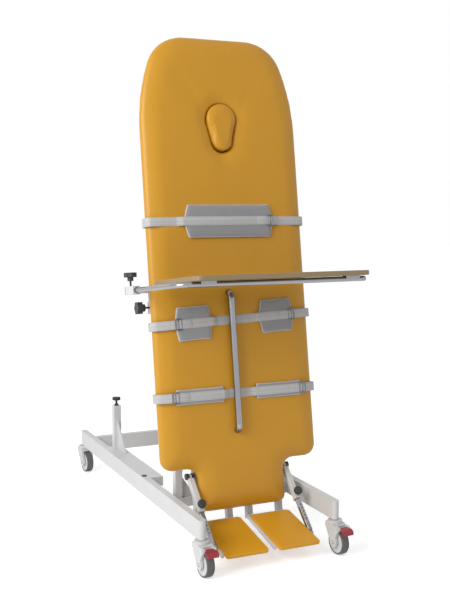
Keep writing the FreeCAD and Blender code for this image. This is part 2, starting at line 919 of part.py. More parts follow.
def deck_board():
    board = plate_solid(bed_outline(deck_inset, frame_top), deck_thickness)
    hole = plate_solid(egg_outline(-deck_hole_inset, frame_top - overrun), deck_thickness + 2 * overrun)
    width = separator_diameter + 2 * separator_hole_gap
    legs = [z_rod(width, separator_x, y, frame_top - overrun, deck_top + overrun) for y in separator_ends()]
    return cut(board, hole, *legs)


def frame_tube(x0, x1, y0, y1):
    return hollow(x0, x1, y0, y1, frame_bottom, frame_top, (tube_wall, tube_wall, tube_wall))


def cross_tube(y, reach):
    half = cross_tube_width / 2
    return frame_tube(-reach, reach, y - half, y + half)


def bed_frame():
    """Welded ladder frame under the deck, with pivot lugs and the rod clevis."""
    inner = frame_tube_x - frame_tube_width / 2
    outer = frame_tube_x + frame_tube_width / 2
    rail_back = accessory_rail_face - accessory_rail_thickness
    half = cross_tube_width / 2
    pieces = []
    for side in (-1, 1):
        x0, x1 = sorted((side * inner, side * outer))
        pieces.append(frame_tube(x0, x1, frame_start, frame_end))
        for y in (low_rail_cross_y, high_rail_cross_y):
            x0, x1 = sorted((side * outer, side * rail_back))
            pieces.append(frame_tube(x0, x1, y - half, y + half))
    rod_pin = rod_end_on_bed()
    for y in (foot_cross_y, low_rail_cross_y, rod_pin.y, middle_cross_y, high_rail_cross_y, head_cross_y):
        pieces.append(cross_tube(y, inner))
    for side in (-1, 1):
        x0, x1 = sorted((side * lug_x, side * (lug_x + lug_thickness)))
        lug = [
            (frame_start, frame_bottom),
            (pivot_from_foot_edge + lug_length / 2, frame_bottom),
            (pivot_from_foot_edge + pivot_eye_radius, -pivot_below_top),
            (pivot_from_foot_edge - pivot_eye_radius, -pivot_below_top),
        ]
        pieces.append(x_prism(lug, x0, x1))
        pieces.append(x_rod(2 * pivot_eye_radius, pivot_from_foot_edge, -pivot_below_top, x0, x1))
        pin_inner = pivot_post_x - pivot_post_size / 2 - pivot_pin_end
        x0, x1 = sorted((side * pin_inner, side * (lug_x + lug_thickness)))
        pieces.append(x_rod(pivot_pin_diameter, pivot_from_foot_edge, -pivot_below_top, x0, x1))
        inner_face = rod_eye_width / 2 + clevis_gap
        x0, x1 = sorted((side * inner_face, side * (inner_face + clevis_thickness)))
        pieces.append(box(x0, x1, rod_pin.y - half, rod_pin.y + half, rod_pin.z, frame_bottom))
        pieces.append(x_rod(cross_tube_width, rod_pin.y, rod_pin.z, x0, x1))
    reach = rod_eye_width / 2 + clevis_gap + clevis_thickness
    pieces.append(x_rod(rod_pin_diameter, rod_pin.y, rod_pin.z, -reach, reach))
    return fuse(*pieces)


def accessory_rail():
    back = accessory_rail_face - accessory_rail_thickness
    return box(back, accessory_rail_face, accessory_rail_start, accessory_rail_end,
               accessory_rail_top - accessory_rail_height, accessory_rail_top)


def leg_separator():
    """Chromed tube between the legs, with both ends bent back onto the frame."""
    low, high = separator_ends()
    top = separator_axis_height
    points = [
        vec(separator_x, low, frame_top), vec(separator_x, low, top),
        vec(separator_x, high, top), vec(separator_x, high, frame_top),
    ]
    radii = [separator_bend_radius, separator_bend_radius]
    outer = bent_tube(points, radii, separator_diameter)
    return outer.cut(bent_tube(points, radii, separator_diameter - 2 * separator_wall))


def side_line(points, radii, offset):
    """Edges of a bent strip's one side: its centre line moved sideways, in the x z plane."""
    turns = []
    moved_points = []
    for index, (x, z) in enumerate(points):
        back = points[max(index - 1, 0)]
        ahead = points[min(index + 1, len(points) - 1)]
        before = math.atan2(z - back[1], x - back[0]) if index > 0 else None
        after = math.atan2(ahead[1] - z, ahead[0] - x) if index < len(points) - 1 else before
        before = after if before is None else before
        turn = math.remainder(after - before, 2 * math.pi)
        middle = before + turn / 2
        reach = offset / math.cos(turn / 2)
        moved_points.append(vec(x - reach * math.sin(middle), 0, z + reach * math.cos(middle)))
        turns.append(turn)
    sizes = []
    for radius, turn in zip(radii, turns[1:-1]):
        sizes.append(radius - offset * math.copysign(1, turn))
    return tube_path(moved_points, sizes)


def strip(points, radii, thickness, width):
    """A flat strip of even thickness bent along a centre line, centred on y zero."""
    upper = side_line(points, radii, thickness / 2)
    lower = side_line(points, radii, -thickness / 2)
    start = Part.LineSegment(lower[0].valueAt(lower[0].FirstParameter),
                             upper[0].valueAt(upper[0].FirstParameter)).toShape()
    end = Part.LineSegment(lower[-1].valueAt(lower[-1].LastParameter),
                           upper[-1].valueAt(upper[-1].LastParameter)).toShape()
    outline = Part.Wire(Part.__sortEdges__(upper + lower + [start, end]))
    face = Part.Face(outline)
    face.translate(vec(0, -width / 2, 0))
    return face.extrude(vec(0, width, 0))


def strap_loop(slack):
    """Points and bends from the bed edge down and round the rail, on the right side."""
    half = webbing_thickness / 2
    side = bed_width / 2 + soft_gap + half + slack
    out = accessory_rail_face + loop_slack + half + slack
    back = accessory_rail_face - accessory_rail_thickness - loop_slack - half - slack
    top = accessory_rail_top + loop_slack + half
    bottom = accessory_rail_top - accessory_rail_height - loop_slack - half
    edge = mattress_edge_radius + mattress_crown + soft_gap + half
    low = soft_gap + half
    points = [
        (side, low), (side, deck_top - half), (out, accessory_rail_top + loop_turn_drop),
        (out, bottom), (back, bottom), (back, top), (accessory_rail_face - 2 * loop_bend, top),
    ]
    return points, [edge, webbing_bend, webbing_bend, loop_bend, loop_bend, loop_bend]


def strap_webbing(slack, pads):
    """Belt over its pads and round both rails; pads are pairs of x where each starts and ends."""
    loop, bends = strap_loop(slack)
    low = soft_gap + webbing_thickness / 2
    high = pad_thickness + 2 * soft_gap + webbing_thickness / 2
    last_flat = loop[0][0] - bends[0]
    points = [(-x, z) for x, z in reversed(loop)]
    radii = list(reversed(bends))
    for start, end in pads:
        ramp_start = max(start - ramp_length, webbing_bend - last_flat)
        ramp_end = min(end + ramp_length, last_flat - webbing_bend)
        points += [(ramp_start, low), (start, high), (end, high), (ramp_end, low)]
        radii += [webbing_bend] * 4
    points += loop
    radii += bends
    return strip(points, radii, webbing_thickness, webbing_width)


def pad_outline(half_length, height, left_point, right_point):
    """Corners of a strap pad, pointed at either end by the given reach."""
    half = height / 2
    corners = [(left_point - half_length, -half), (half_length - right_point, -half)]
    if right_point:
        corners.append((half_length, 0))
    corners += [(half_length - right_point, half), (left_point - half_length, half)]
    if left_point:
        corners.append((-half_length, 0))
    return corners


def strap_pad(x, corners):
    """Soft pad with rolled edges lying on the mattress."""
    placed = [(px + x, py) for px, py in corners]
    bottom = soft_gap
    sections = [rounded_outline(placed, pad_corner_radius, pad_edge_round / 2, bottom)]
    sections.append(rounded_outline(placed, pad_corner_radius, 0, bottom + pad_edge_round))
    for inset, drop in round_edges(pad_edge_round, pad_edge_steps):
        sections.append(rounded_outline(placed, pad_corner_radius, inset, bottom + pad_thickness - drop))
    return loft(sections)


def strap_buckle(x):
    """Slide buckle bridging the belt, its legs standing on the pad."""
    foot = pad_thickness + 2 * soft_gap
    under = foot + webbing_thickness + buckle_gap
    half = webbing_width / 2 + buckle_gap
    outer = half + buckle_side
    bridge = box(x - buckle_length / 2, x + buckle_length / 2, -outer, outer, foot, under + buckle_top)
    return bridge.cut(box(x - buckle_length, x + buckle_length, -half, half, foot - overrun, under))


def build_straps(place):
    chest_place = place.multiply(FreeCAD.Placement(vec(0, chest_strap_y, 0), FreeCAD.Rotation()))
    pelvic_turn = FreeCAD.Rotation(Z_AXIS, pelvic_strap_angle)
    pelvic_place = place.multiply(FreeCAD.Placement(vec(0, pelvic_strap_y, 0), pelvic_turn))
    knee_place = place.multiply(FreeCAD.Placement(vec(0, knee_strap_y, 0), FreeCAD.Rotation()))
    slack = webbing_width / 2 * math.sin(math.radians(pelvic_strap_angle))
    slack += bed_width / 2 * (1 / math.cos(math.radians(pelvic_strap_angle)) - 1)

    chest_reach = chest_pad_half_length - chest_pad_point
    save_on(chest_place, "chest_strap", strap_webbing(0, [(-chest_pad_half_length, chest_pad_half_length)]))
    pelvic_pads = [
        (side * pelvic_pad_x - pelvic_pad_half_length, side * pelvic_pad_x + pelvic_pad_half_length)
        for side in (-1, 1)
    ]
    save_on(pelvic_place, "pelvic_strap", strap_webbing(slack, pelvic_pads))
    knee_pads = [
        (side * knee_pad_x - knee_pad_half_length, side * knee_pad_x + knee_pad_half_length)
        for side in (-1, 1)
    ]
    save_on(knee_place, "knee_strap", strap_webbing(0, knee_pads))

    chest_corners = pad_outline(chest_pad_half_length, chest_pad_height, chest_pad_point, chest_pad_point)
    save_on(chest_place, "chest_pad", strap_pad(0, chest_corners))
    for name, side in SIDES:
        corners = pad_outline(pelvic_pad_half_length, pelvic_pad_height, pelvic_pad_point, pelvic_pad_point)
        save_on(pelvic_place, "pelvic_pad_" + name, strap_pad(side * pelvic_pad_x, corners))
        points = (0, knee_pad_point) if side > 0 else (knee_pad_point, 0)
        corners = pad_outline(knee_pad_half_length, knee_pad_height, *points)
        save_on(knee_place, "knee_pad_" + name, strap_pad(side * knee_pad_x, corners))

    buckles = [moved(strap_buckle(chest_reach), chest_place)]
    for side in (-1, 1):
        pelvic_tip = pelvic_pad_x + pelvic_pad_half_length
        knee_tip = knee_pad_x + knee_pad_half_length
        buckles.append(moved(strap_buckle(side * (pelvic_tip - buckle_from_tip)), pelvic_place))
        buckles.append(moved(strap_buckle(side * (knee_tip - buckle_from_tip)), knee_place))
    save("strap_buckles", *buckles)


def build_bed():
    place = bed_placement()
    save_on(place, "mattress", mattress())
    save_on(place, "face_plug", face_plug())
    save_on(place, "deck_board", deck_board())
    save_on(place, "bed_frame", bed_frame())
    save_on(place, "accessory_rails", accessory_rail(), mirrored(accessory_rail()))
    save_on(place, "leg_separator", leg_separator())
    build_straps(place)


def carrier(x):
    """Bar under the deck that carries one side of a foot plate, with its hinge lug."""
    half = carrier_bar_size / 2
    end = plate_hinge_y - hinge_lug_radius
    bar_end = foot_cross_y - cross_tube_width / 2
    bar = box(x - half, x + half, end, bar_end, carrier_z - half, carrier_z + half)
    lug_half = hinge_lug_thickness / 2
    lug = box(x - lug_half, x + lug_half, end, plate_hinge_y + hinge_lug_radius, carrier_z, plate_hinge_z)
    eye = x_rod(2 * hinge_lug_radius, plate_hinge_y, plate_hinge_z, x - lug_half, x + lug_half)
    bore = x_rod(hinge_pin_diameter + 2 * running_fit, plate_hinge_y, plate_hinge_z,
                 x - carrier_bar_size, x + carrier_bar_size)
    return fuse(bar, lug, eye).cut(bore)


def strut_pivot():
    """Block, pin and cap that hold the upper end of a strut beside its outer carrier."""
    inner = carrier_outer_x + carrier_bar_size / 2
    face = strut_x - strut_eye_width / 2 - strut_side_gap
    far = strut_x + strut_eye_width / 2 + strut_side_gap
    block_face = strut_x - strut_tube_size / 2 - strut_side_gap
    top = strut_top_z + strut_eye_diameter / 2 - soft_gap
    return fuse(
        x_rod(pin_head_diameter, strut_top_y, strut_top_z, inner, face),
        box(inner, block_face, strut_top_y - strut_block_depth / 2, strut_top_y + strut_block_depth / 2,
            top - strut_block_height, top),
        x_rod(strut_pin_diameter, strut_top_y, strut_top_z, inner, far),
        x_rod(pivot_cap_diameter, strut_top_y, strut_top_z, far, far + pivot_cap_length),
    )


def foot_plate():
    """Coated board for one foot, with round corners and softened edges."""
    back = -plate_setback
    front = back - plate_depth
    corners = [
        (plate_inner_x, front), (plate_outer_x, front), (plate_outer_x, back), (plate_inner_x, back)
    ]
    bottom = plate_bottom_rise
    sections = [rounded_outline(corners, plate_corner_radius, plate_edge_round / 2, bottom)]
    sections.append(rounded_outline(corners, plate_corner_radius, 0, bottom + plate_edge_round))
    for inset, drop in round_edges(plate_edge_round, plate_edge_steps):
        sections.append(rounded_outline(corners, plate_corner_radius, inset, bottom + plate_thickness - drop))
    return loft(sections)


def strut_foot():
    """Centre of the lower strut pin in the foot plate frame."""
    return vec(strut_x, -strut_radius, 0)


def foot_bracket():
    """Hinge barrel with two arms under the foot plate and the lower strut pin."""
    lug_half = hinge_lug_thickness / 2
    barrel_start = carrier_inner_x + lug_half + knuckle_gap
    barrel_end = carrier_outer_x - lug_half - knuckle_gap
    barrel = x_rod(knuckle_diameter, 0, 0, barrel_start, barrel_end)
    pin = x_rod(hinge_pin_diameter, 0, 0, plate_inner_x + arm_inset, plate_outer_x - arm_inset)
    top = plate_bottom_rise - soft_gap
    length = plate_setback + plate_depth * arm_length_share
    pieces = [barrel, pin]
    inner_arm = (plate_inner_x + arm_inset, plate_inner_x + arm_inset + arm_thickness)
    outer_arm = (plate_outer_x - arm_inset - arm_thickness, plate_outer_x - arm_inset)
    for x0, x1 in (inner_arm, outer_arm):
        side = [
            (0, knuckle_diameter / 2 - arm_drop), (-plate_setback, top), (-length, top),
            (-length, top - arm_nose_radius), (-length + arm_nose_radius, top - arm_rise),
            (0, -knuckle_diameter / 2),
        ]
        pieces.append(x_prism(side, x0, x1))
        pieces.append(x_rod(knuckle_diameter, 0, 0, x0, x1))
    for y in (-plate_setback - tie_width, -length + tie_width):
        pieces.append(centred_box(plate_middle_x, y, plate_width - 2 * arm_inset, tie_width,
                                  top - tie_thickness, top))
    foot = strut_foot()
    face = strut_x - strut_eye_width / 2 - strut_side_gap
    far = strut_x + strut_eye_width / 2 + strut_side_gap
    pieces.append(x_rod(pin_head_diameter, foot.y, foot.z, outer_arm[0], face))
    pieces.append(x_rod(strut_pin_diameter, foot.y, foot.z, face, far))
    pieces.append(x_rod(pin_head_diameter, foot.y, foot.z, far, far + pin_head_length))
    return fuse(*pieces)


def strut_frame():
    """Frame of a strut: origin on its upper pin, Z towards its lower pin."""
    top = bed_placement().multVec(vec(0, strut_top_y, strut_top_z))
    foot = plate_placement().multVec(vec(0, strut_foot().y, strut_foot().z))
    return aimed(top, foot), (foot - top).Length


def square_bar(size, radius, z0, z1):
    half = size / 2
    corners = [
        (strut_x - half, -half), (strut_x + half, -half), (strut_x + half, half), (strut_x - half, half)
    ]
    return plate_solid(rounded_outline(corners, radius, 0, z0), z1 - z0)


def strut_eye(z):
    half = strut_eye_width / 2
    return x_rod(strut_eye_diameter, 0, z, strut_x - half, strut_x + half)


def strut_pin_bore(z):
    return x_rod(strut_pin_diameter + 2 * running_fit, 0, z,
                 strut_x - strut_eye_diameter, strut_x + strut_eye_diameter)


def strut_tube():
    """Upper strut half: square tube with an eye at the top and a collar at the mouth."""
    half = strut_eye_width / 2
    shoulder = pivot_cap_diameter / 2 + strut_side_gap
    neck = box(strut_x - half, strut_x + half, -half, half, 0, shoulder + overrun)
    body = square_bar(strut_tube_size, strut_corner_radius, shoulder, strut_tube_length)
    collar = square_bar(strut_collar_size, strut_corner_radius,
                        strut_tube_length - strut_collar_length, strut_tube_length)
    bore = square_bar(strut_bar_size + 2 * slide_gap, least_radius,
                      2 * shoulder, strut_tube_length + overrun)
    knob_z = strut_tube_length - strut_knob_back
    knob_hole = rod(strut_knob_stem_diameter + 2 * running_fit,
                    vec(strut_x, 0, knob_z), vec(strut_x, strut_tube_size, knob_z))
    return cut(fuse(strut_eye(0), neck, body, collar), bore, knob_hole, strut_pin_bore(0))


def strut_bar(length):
    """Lower strut half: chromed square bar with locking holes and an eye at its foot."""
    half = strut_eye_width / 2
    shoulder = strut_eye_diameter / 2 + strut_side_gap
    start = length - strut_bar_length
    neck = box(strut_x - half, strut_x + half, -half, half, length - shoulder - overrun, length)
    body = square_bar(strut_bar_size, least_radius, start, length - shoulder)
    holes = []
    for index in range(strut_hole_count):
        z = length - strut_hole_start - index * strut_hole_pitch
        holes.append(rod(strut_hole_diameter, vec(strut_x, 0, z), vec(strut_x, strut_bar_size, z)))
    return cut(fuse(body, neck, strut_eye(length)), strut_pin_bore(length), *holes)


def strut_knob():
    """Round clamp knob on the front of a strut tube."""
    z = strut_tube_length - strut_knob_back
    tip = strut_bar_size / 2 + slide_gap + screw_tip_gap
    face = strut_tube_size / 2 + strut_knob_stem_length
    end = face + strut_knob_length
    head = rod(strut_knob_diameter, vec(strut_x, face, z), vec(strut_x, end, z))
    rims = [edge for edge in head.Edges if hasattr(edge.Curve, "Radius")]
    head = head.makeFillet(strut_knob_round, rims)
    return fuse(head, rod(strut_knob_stem_diameter, vec(strut_x, tip, z), vec(strut_x, face, z)))


def build_foot_supports():
    bed = bed_placement()
    carriers = [carrier(side * x) for side in (-1, 1) for x in (carrier_inner_x, carrier_outer_x)]
    save_on(bed, "foot_carriers", *carriers)
    save_on(bed, "strut_pivots", strut_pivot(), mirrored(strut_pivot()))
    strut, length = strut_frame()
    for name, side in SIDES:
        save_on(plate_placement(), "foot_plate_" + name, for_side(foot_plate(), side))
        save_on(plate_placement(), "foot_bracket_" + name, for_side(foot_bracket(), side))
        save_on(strut, "strut_tube_" + name, for_side(strut_tube(), side))
        save_on(strut, "strut_bar_" + name, for_side(strut_bar(length), side))
        save_on(strut, "strut_knob_" + name, for_side(strut_knob(), side))


def actuator_body():
    """Outer tube of the tilt actuator with its lower eye, gear case and motor."""
    half = actuator_eye_width / 2
    eye = x_rod(2 * actuator_eye_radius, 0, 0, -half, half)
    neck = box(-half, half, -half, half, 0, actuator_tube_start)
    tube = z_rod(actuator_tube_diameter, 0, 0, actuator_tube_start, actuator_tube_end)
    case_half = gear_case_width / 2
    case = box(-case_half, motor_offset + motor_diameter / 2, -case_half, case_half,
               actuator_tube_start, actuator_tube_start + gear_case_length)
    motor_top = actuator_tube_start + gear_case_length + motor_length
    motor = z_rod(motor_diameter, motor_offset, 0, actuator_tube_start, motor_top)
    bore = z_rod(rod_diameter + 2 * actuator_bore_gap, 0, 0, actuator_bore_start, actuator_tube_end + overrun)
    pin = x_rod(actuator_pin_diameter + 2 * running_fit, 0, 0, -overrun - half, overrun + half)
    return cut(fuse(eye, neck, tube, case, motor), bore, pin)


def actuator_rod(length):
    """Chromed piston rod with its upper eye, drawn from the lower pin's frame."""
    half = rod_eye_width / 2
    eye = x_rod(2 * rod_eye_radius, 0, length, -half, half)
    shaft = z_rod(rod_diameter, 0, 0, length - rod_length, length)
    pin = x_rod(rod_pin_diameter + 2 * running_fit, 0, length, -overrun - half, overrun + half)
    return fuse(eye, shaft).cut(pin)


def build_actuator():
    base = actuator_base()
    top = bed_placement().multVec(rod_end_on_bed())
    place = aimed(base, top)
    save_on(place, "actuator_body", actuator_body())
    save_on(place, "actuator_rod", actuator_rod((top - base).Length))


def lobed_knob(radius_diameter, length, axis_start, axis):
    """Star knob: a round body with lobes spread evenly round its edge."""
    along = axis * length
    knob = Part.makeCylinder(radius_diameter / 2 - knob_lobe_sink, length, axis_start, axis)
    side = Z_AXIS if abs(axis.z) < abs(axis.x) + abs(axis.y) else X_AXIS
    ring = radius_diameter / 2 - knob_lobe_diameter / 2
    lobes = []
    for index in range(knob_lobe_count):
        turn = FreeCAD.Rotation(axis, FULL_TURN * index / knob_lobe_count)
        start = axis_start + turn.multVec(side * ring)
        lobes.append(rod(knob_lobe_diameter, start, start + along))
    return fuse(knob, *lobes)


def tray_bracket():
    """Rail clamp with an outrigger to the square sleeve of the tray arm."""
    back = accessory_rail_face - accessory_rail_thickness
    low = jaw_y - jaw_length / 2
    high = jaw_y + jaw_length / 2
    jaw_top = accessory_rail_top + jaw_gap + jaw_wall
    jaw_bottom = accessory_rail_top - accessory_rail_height - jaw_gap - jaw_wall
    outer = -accessory_rail_face - jaw_outer_wall
    jaw = box(outer, -back + jaw_gap + jaw_lip, low, high, jaw_bottom, jaw_top)
    slot = box(-accessory_rail_face - jaw_gap, -back + jaw_gap, low - overrun, high + overrun,
               jaw_bottom + jaw_wall, jaw_top - jaw_wall)
    arm_low = tray_axis_y - bracket_arm_height / 2
    arm_high = tray_axis_y + bracket_arm_height / 2
    rear = tray_sleeve_rear + bracket_arm_setback
    front = rear + bracket_arm_depth
    leg = box(outer, outer + bracket_bar, low, arm_high, rear, front)
    reach = box(tray_axis_x, outer + bracket_bar, arm_low, arm_high, rear, front)
    screw = x_rod(screw_diameter + 2 * screw_gap, jaw_y, accessory_rail_z,
                  outer - overrun, -accessory_rail_face)
    bed_pieces = fuse(jaw.cut(slot), leg, reach)

    width = tray_sleeve_width / 2
    height = tray_sleeve_height / 2
    sleeve = box(-width, width, -height, height, tray_sleeve_rear, tray_sleeve_front)
    bore = z_rod(tray_tube_diameter + 2 * tray_bore_gap, 0, 0,
                 tray_sleeve_rear - overrun, tray_sleeve_front + overrun)
    lock = rod(screw_diameter + 2 * screw_gap, vec(0, 0, lock_knob_z),
               vec(0, tray_sleeve_height, lock_knob_z))
    to_bed = turned_about_x(tray_arm_angle, vec(tray_axis_x, tray_axis_y, 0))
    tools = [moved(tool, to_bed) for tool in (bore, lock)]
    return cut(fuse(bed_pieces, moved(sleeve, to_bed)), screw, *tools)


def sleeve_cap():
    width = tray_sleeve_width / 2
    height = tray_sleeve_height / 2
    return box(-width, width, -height, height, tray_sleeve_rear - sleeve_cap_thickness, tray_sleeve_rear)


def tray_arm():
    """Bent tube from the sleeve forward and across the bed, with tabs under the board."""
    end_x = tray_tube_end_x - tray_axis_x
    start = tray_sleeve_rear + tray_tail_gap
    points = [vec(0, 0, start), vec(0, 0, tray_front_run), vec(end_x, 0, tray_front_run)]
    tube = bent_tube(points, [tray_bend_radius], tray_tube_diameter)
    bore = bent_tube(points, [tray_bend_radius], tray_tube_bore)
    tip = Part.makeSphere(tray_tube_diameter / 2, vec(end_x, 0, tray_front_run))
    ring = z_rod(tray_ring_diameter, 0, 0, tray_sleeve_front + soft_gap,
                 tray_sleeve_front + soft_gap + tray_ring_length)
    left = -tray_board_width / 2 - tray_axis_x
    right = tray_board_width / 2 - tray_axis_x
    tabs = []
    for x in (left + tray_tab_length, right - tray_tab_length):
        tabs.append(box(x - tray_tab_length / 2, x + tray_tab_length / 2, 0, tray_tab_rise,
                        tray_front_run - tray_tab_width / 2, tray_front_run + tray_tab_width / 2))
    side = tray_side_tab_run
    tabs.append(box(0, tray_side_tab_reach, tray_tab_rise - tray_tab_thickness, tray_tab_rise,
                    side - tray_tab_width / 2, side + tray_tab_width / 2))
    return fuse(tube, ring, *tabs).cut(bore).fuse(tip.cut(bore)).removeSplitter()


def tray_board():
    """Flat tray on the arm's tabs, with round corners and softened edges."""
    left = -tray_board_width / 2 - tray_axis_x
    right = tray_board_width / 2 - tray_axis_x
    corners = [
        (left, tray_board_rear), (right, tray_board_rear),
        (right, tray_board_front), (left, tray_board_front),
    ]
    edge = tray_board_edge
    top = tray_board_thickness
    sections = [rounded_outline(corners, tray_board_corner, edge, 0)]
    sections.append(rounded_outline(corners, tray_board_corner, 0, edge))
    sections.append(rounded_outline(corners, tray_board_corner, 0, top - edge))
    sections.append(rounded_outline(corners, tray_board_corner, edge, top))
    upright = turned_about_x(QUARTER, vec(0, tray_tab_rise + tray_board_thickness, 0))
    return moved(loft(sections), upright)


def clamp_knob():
    """Star knob whose screw clamps the bracket on the accessory rail."""
    tip = -accessory_rail_face - screw_tip_gap
    face = -accessory_rail_face - jaw_outer_wall - clamp_screw_bare
    place = vec(face, jaw_y, accessory_rail_z)
    hub = rod(clamp_hub_diameter, place, place - X_AXIS * clamp_hub_length)
    knob = lobed_knob(clamp_knob_diameter, clamp_knob_length, place - X_AXIS * clamp_hub_length, -X_AXIS)
    screw = rod(screw_diameter, vec(tip, jaw_y, accessory_rail_z), place)
    return fuse(knob, hub, screw)


def lock_knob():
    """Star knob on top of the sleeve that locks the tray arm's turn."""
    tip = tray_tube_diameter / 2 + screw_tip_gap
    face = tray_sleeve_height / 2 + lock_screw_bare
    place = vec(0, face, lock_knob_z)
    hub = rod(lock_hub_diameter, place, place + Y_AXIS * lock_hub_length)
    knob = lobed_knob(lock_knob_diameter, lock_knob_length, place + Y_AXIS * lock_hub_length, Y_AXIS)
    screw = rod(screw_diameter, vec(0, tip, lock_knob_z), place)
    return fuse(knob, hub, screw)


def build_tray():
    bed = bed_placement()
    tray = tray_placement()
    save_on(bed, "tray_bracket", tray_bracket())
    save_on(tray, "sleeve_cap", sleeve_cap())
    save_on(tray, "tray_arm", tray_arm())
    save_on(tray, "tray_board", tray_board())
    save_on(tray, "tray_lock_knob", lock_knob())
    save_on(bed, "tray_clamp_knob", clamp_knob())


os.makedirs("parts", exist_ok=True)
build_base()
build_casters()
build_bed()
build_foot_supports()
build_actuator()
build_tray()
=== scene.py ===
import json
import math

import bmesh
import bpy
from bpy.props import FloatProperty, FloatVectorProperty, IntProperty, PointerProperty
from mathutils import Matrix, Vector, noise
from mathutils.bvhtree import BVHTree
from mathutils.kdtree import KDTree


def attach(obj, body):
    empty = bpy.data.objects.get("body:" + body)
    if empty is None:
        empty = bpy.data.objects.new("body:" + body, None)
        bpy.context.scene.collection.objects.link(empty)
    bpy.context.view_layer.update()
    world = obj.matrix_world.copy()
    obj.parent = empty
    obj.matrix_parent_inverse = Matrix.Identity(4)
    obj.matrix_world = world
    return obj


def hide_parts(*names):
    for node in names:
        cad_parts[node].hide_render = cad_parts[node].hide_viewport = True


bl_info = {
    "name": "Tilt table",
    "version": (1, 0, 0),
    "blender": (4, 5, 0),
    "location": "View3D > Sidebar > Tilt table",
    "description": "Dresses the packed physiotherapy tilt table with its padding, belts and finishes",
    "category": "Object",
}

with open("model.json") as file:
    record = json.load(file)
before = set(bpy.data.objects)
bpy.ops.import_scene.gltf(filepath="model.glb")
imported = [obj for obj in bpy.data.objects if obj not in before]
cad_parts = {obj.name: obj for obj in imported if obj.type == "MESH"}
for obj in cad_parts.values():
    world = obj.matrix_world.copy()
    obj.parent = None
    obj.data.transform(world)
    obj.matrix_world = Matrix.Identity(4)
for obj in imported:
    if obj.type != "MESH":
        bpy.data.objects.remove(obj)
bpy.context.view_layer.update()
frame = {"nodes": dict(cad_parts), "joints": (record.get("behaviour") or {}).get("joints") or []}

MM = 0.001
BED_TILT = math.radians(81.15)
PIVOT = Vector((0, -370, 406)) * MM
PIVOT_IN_BED = Vector((0, 284, -151)) * MM
# The bed frame has x across, y from the foot edge to the head, z up from the mattress top.
BED = Matrix.Translation(PIVOT) @ Matrix.Rotation(BED_TILT, 4, "X") @ Matrix.Translation(-PIVOT_IN_BED)
TRAY_ANGLE = math.radians(2)

CHEST, PELVIS, KNEES = "chest", "pelvic", "knee"
# Each belt: its place up the bed in mm, its slant in degrees, and the middle, half length, height
# and point length at each end of its pads in mm.
BELTS = {
    CHEST: (1162, 0, {
        "chest_pad": (0, 203, 140, 20, 20),
    }),
    PELVIS: (763, 2.2, {
        "pelvic_pad_left": (-184, 84, 140, 14, 14),
        "pelvic_pad_right": (184, 84, 140, 14, 14),
    }),
    KNEES: (467, 0, {
        "knee_pad_left": (-184, 114, 66, 24, 0),
        "knee_pad_right": (184, 114, 66, 0, 24),
    }),
}
# Each buckle: its belt and its place along the belt in mm.
BUCKLES = ((CHEST, 183), (PELVIS, -251), (PELVIS, 251), (KNEES, -281), (KNEES, 281))
# Wire frame of a buckle and its bar, in mm.
BUCKLE_LENGTH, BUCKLE_WIDTH, BUCKLE_CORNER, BUCKLE_WIRE = 26, 43, 4, 3.6
BUCKLE_LIFT, BAR_RADIUS, BAR_LENGTH = 1.7, 1.2, 40
CORNER_STEPS = 6

# What a belt runs over, in mm in the bed's frame.
MATTRESS_SIDE = 350
RAIL_OUT, RAIL_DEPTH, RAIL_TOP, RAIL_BOTTOM = 312, 10, -79.8, -104.8
BELT_END = 308.8
# The middle of the webbing over the mattress, round the rail and over a pad.
BELT_REST, LOOP_REST, PAD_REST = 1.3, 1.4, 13.6
BELT_HALF_WIDTH = 18
# Where the belt bends down at the mattress's edge, and how far it runs from a pad down to the mattress.
EDGE_BEND, PAD_RAMP, LAST_RAMP = 292, 24, 250
# The belt's sewn end: its length in mm, its share of the belt's width and thickness, and its seams.
FLAP_LENGTH, FLAP_WIDTH_SHARE, FLAP_THICKNESS_SHARE = 58, 0.96, 0.8
SEAM_SHARES = (0.12, 0.3, 0.9)
SEAM_REACH_SHARE = 0.4
# How far in from the binding's edge its stitches run, as a share of its width.
STITCH_INSET_SHARE = 0.72

# Holes in the mattress for the leg separator, and the plugs that close them while it is inflated.
SEPARATOR_HOLES = (Vector((-20, 318, 0)) * MM, Vector((-20, 873, 0)) * MM)
FILLING_DROP, FILLING_RADIUS, FILLING_DEPTH = -26 * MM, 17 * MM, 48 * MM
# Height up the bed and radius of the breathing hole's wide end, and then of its narrow end.
FACE_HOLE = (1582 * MM, 65 * MM, 1495 * MM, 44 * MM)

# Heights on the mattress's side, and where its top begins to round over.
SIDE_LOW, SIDE_HIGH, TOP_LOW = -44 * MM, -30 * MM, -8 * MM
HOLE_CLEARANCE = 25 * MM
# Depth and reach of what draws the cover in: the hole, its folds, the separator, the belts.
HOLE_REACH = 32 * MM
FOLD_DEPTH, FOLD_REACH = 2.6 * MM, 70 * MM
FOLD_SPREAD, FOLD_PITCH = math.radians(75), 5
SEPARATOR_SINK, SEPARATOR_REACH = 2.2 * MM, 26 * MM
BELT_SINK, BELT_REACH = 0.8 * MM, 26 * MM
UNEVEN_DEPTH, UNEVEN_SCALE = 0.5 * MM, 9
# The share of its swell that a cushion is left filled to.
FILLED_SHARE = 0.9
CLOTH_STIFFNESS = 12

# A caster's pin heads: their distance from its middle, and their forms as shares of their radius.
FORK_HALF_WIDTH = 28 * MM
AXLE_HEAD_RADIUS, PEDAL_HEAD_RADIUS = 7 * MM, 4.5 * MM
HEAD_RISE_SHARE = 0.22
SOCKET_SHARES = ((0.31, 0.14), (0.17, 0.0), (0.03, -0.3))
CORNERS = tuple(end + "_" + side for end in ("front", "rear") for side in ("left", "right"))

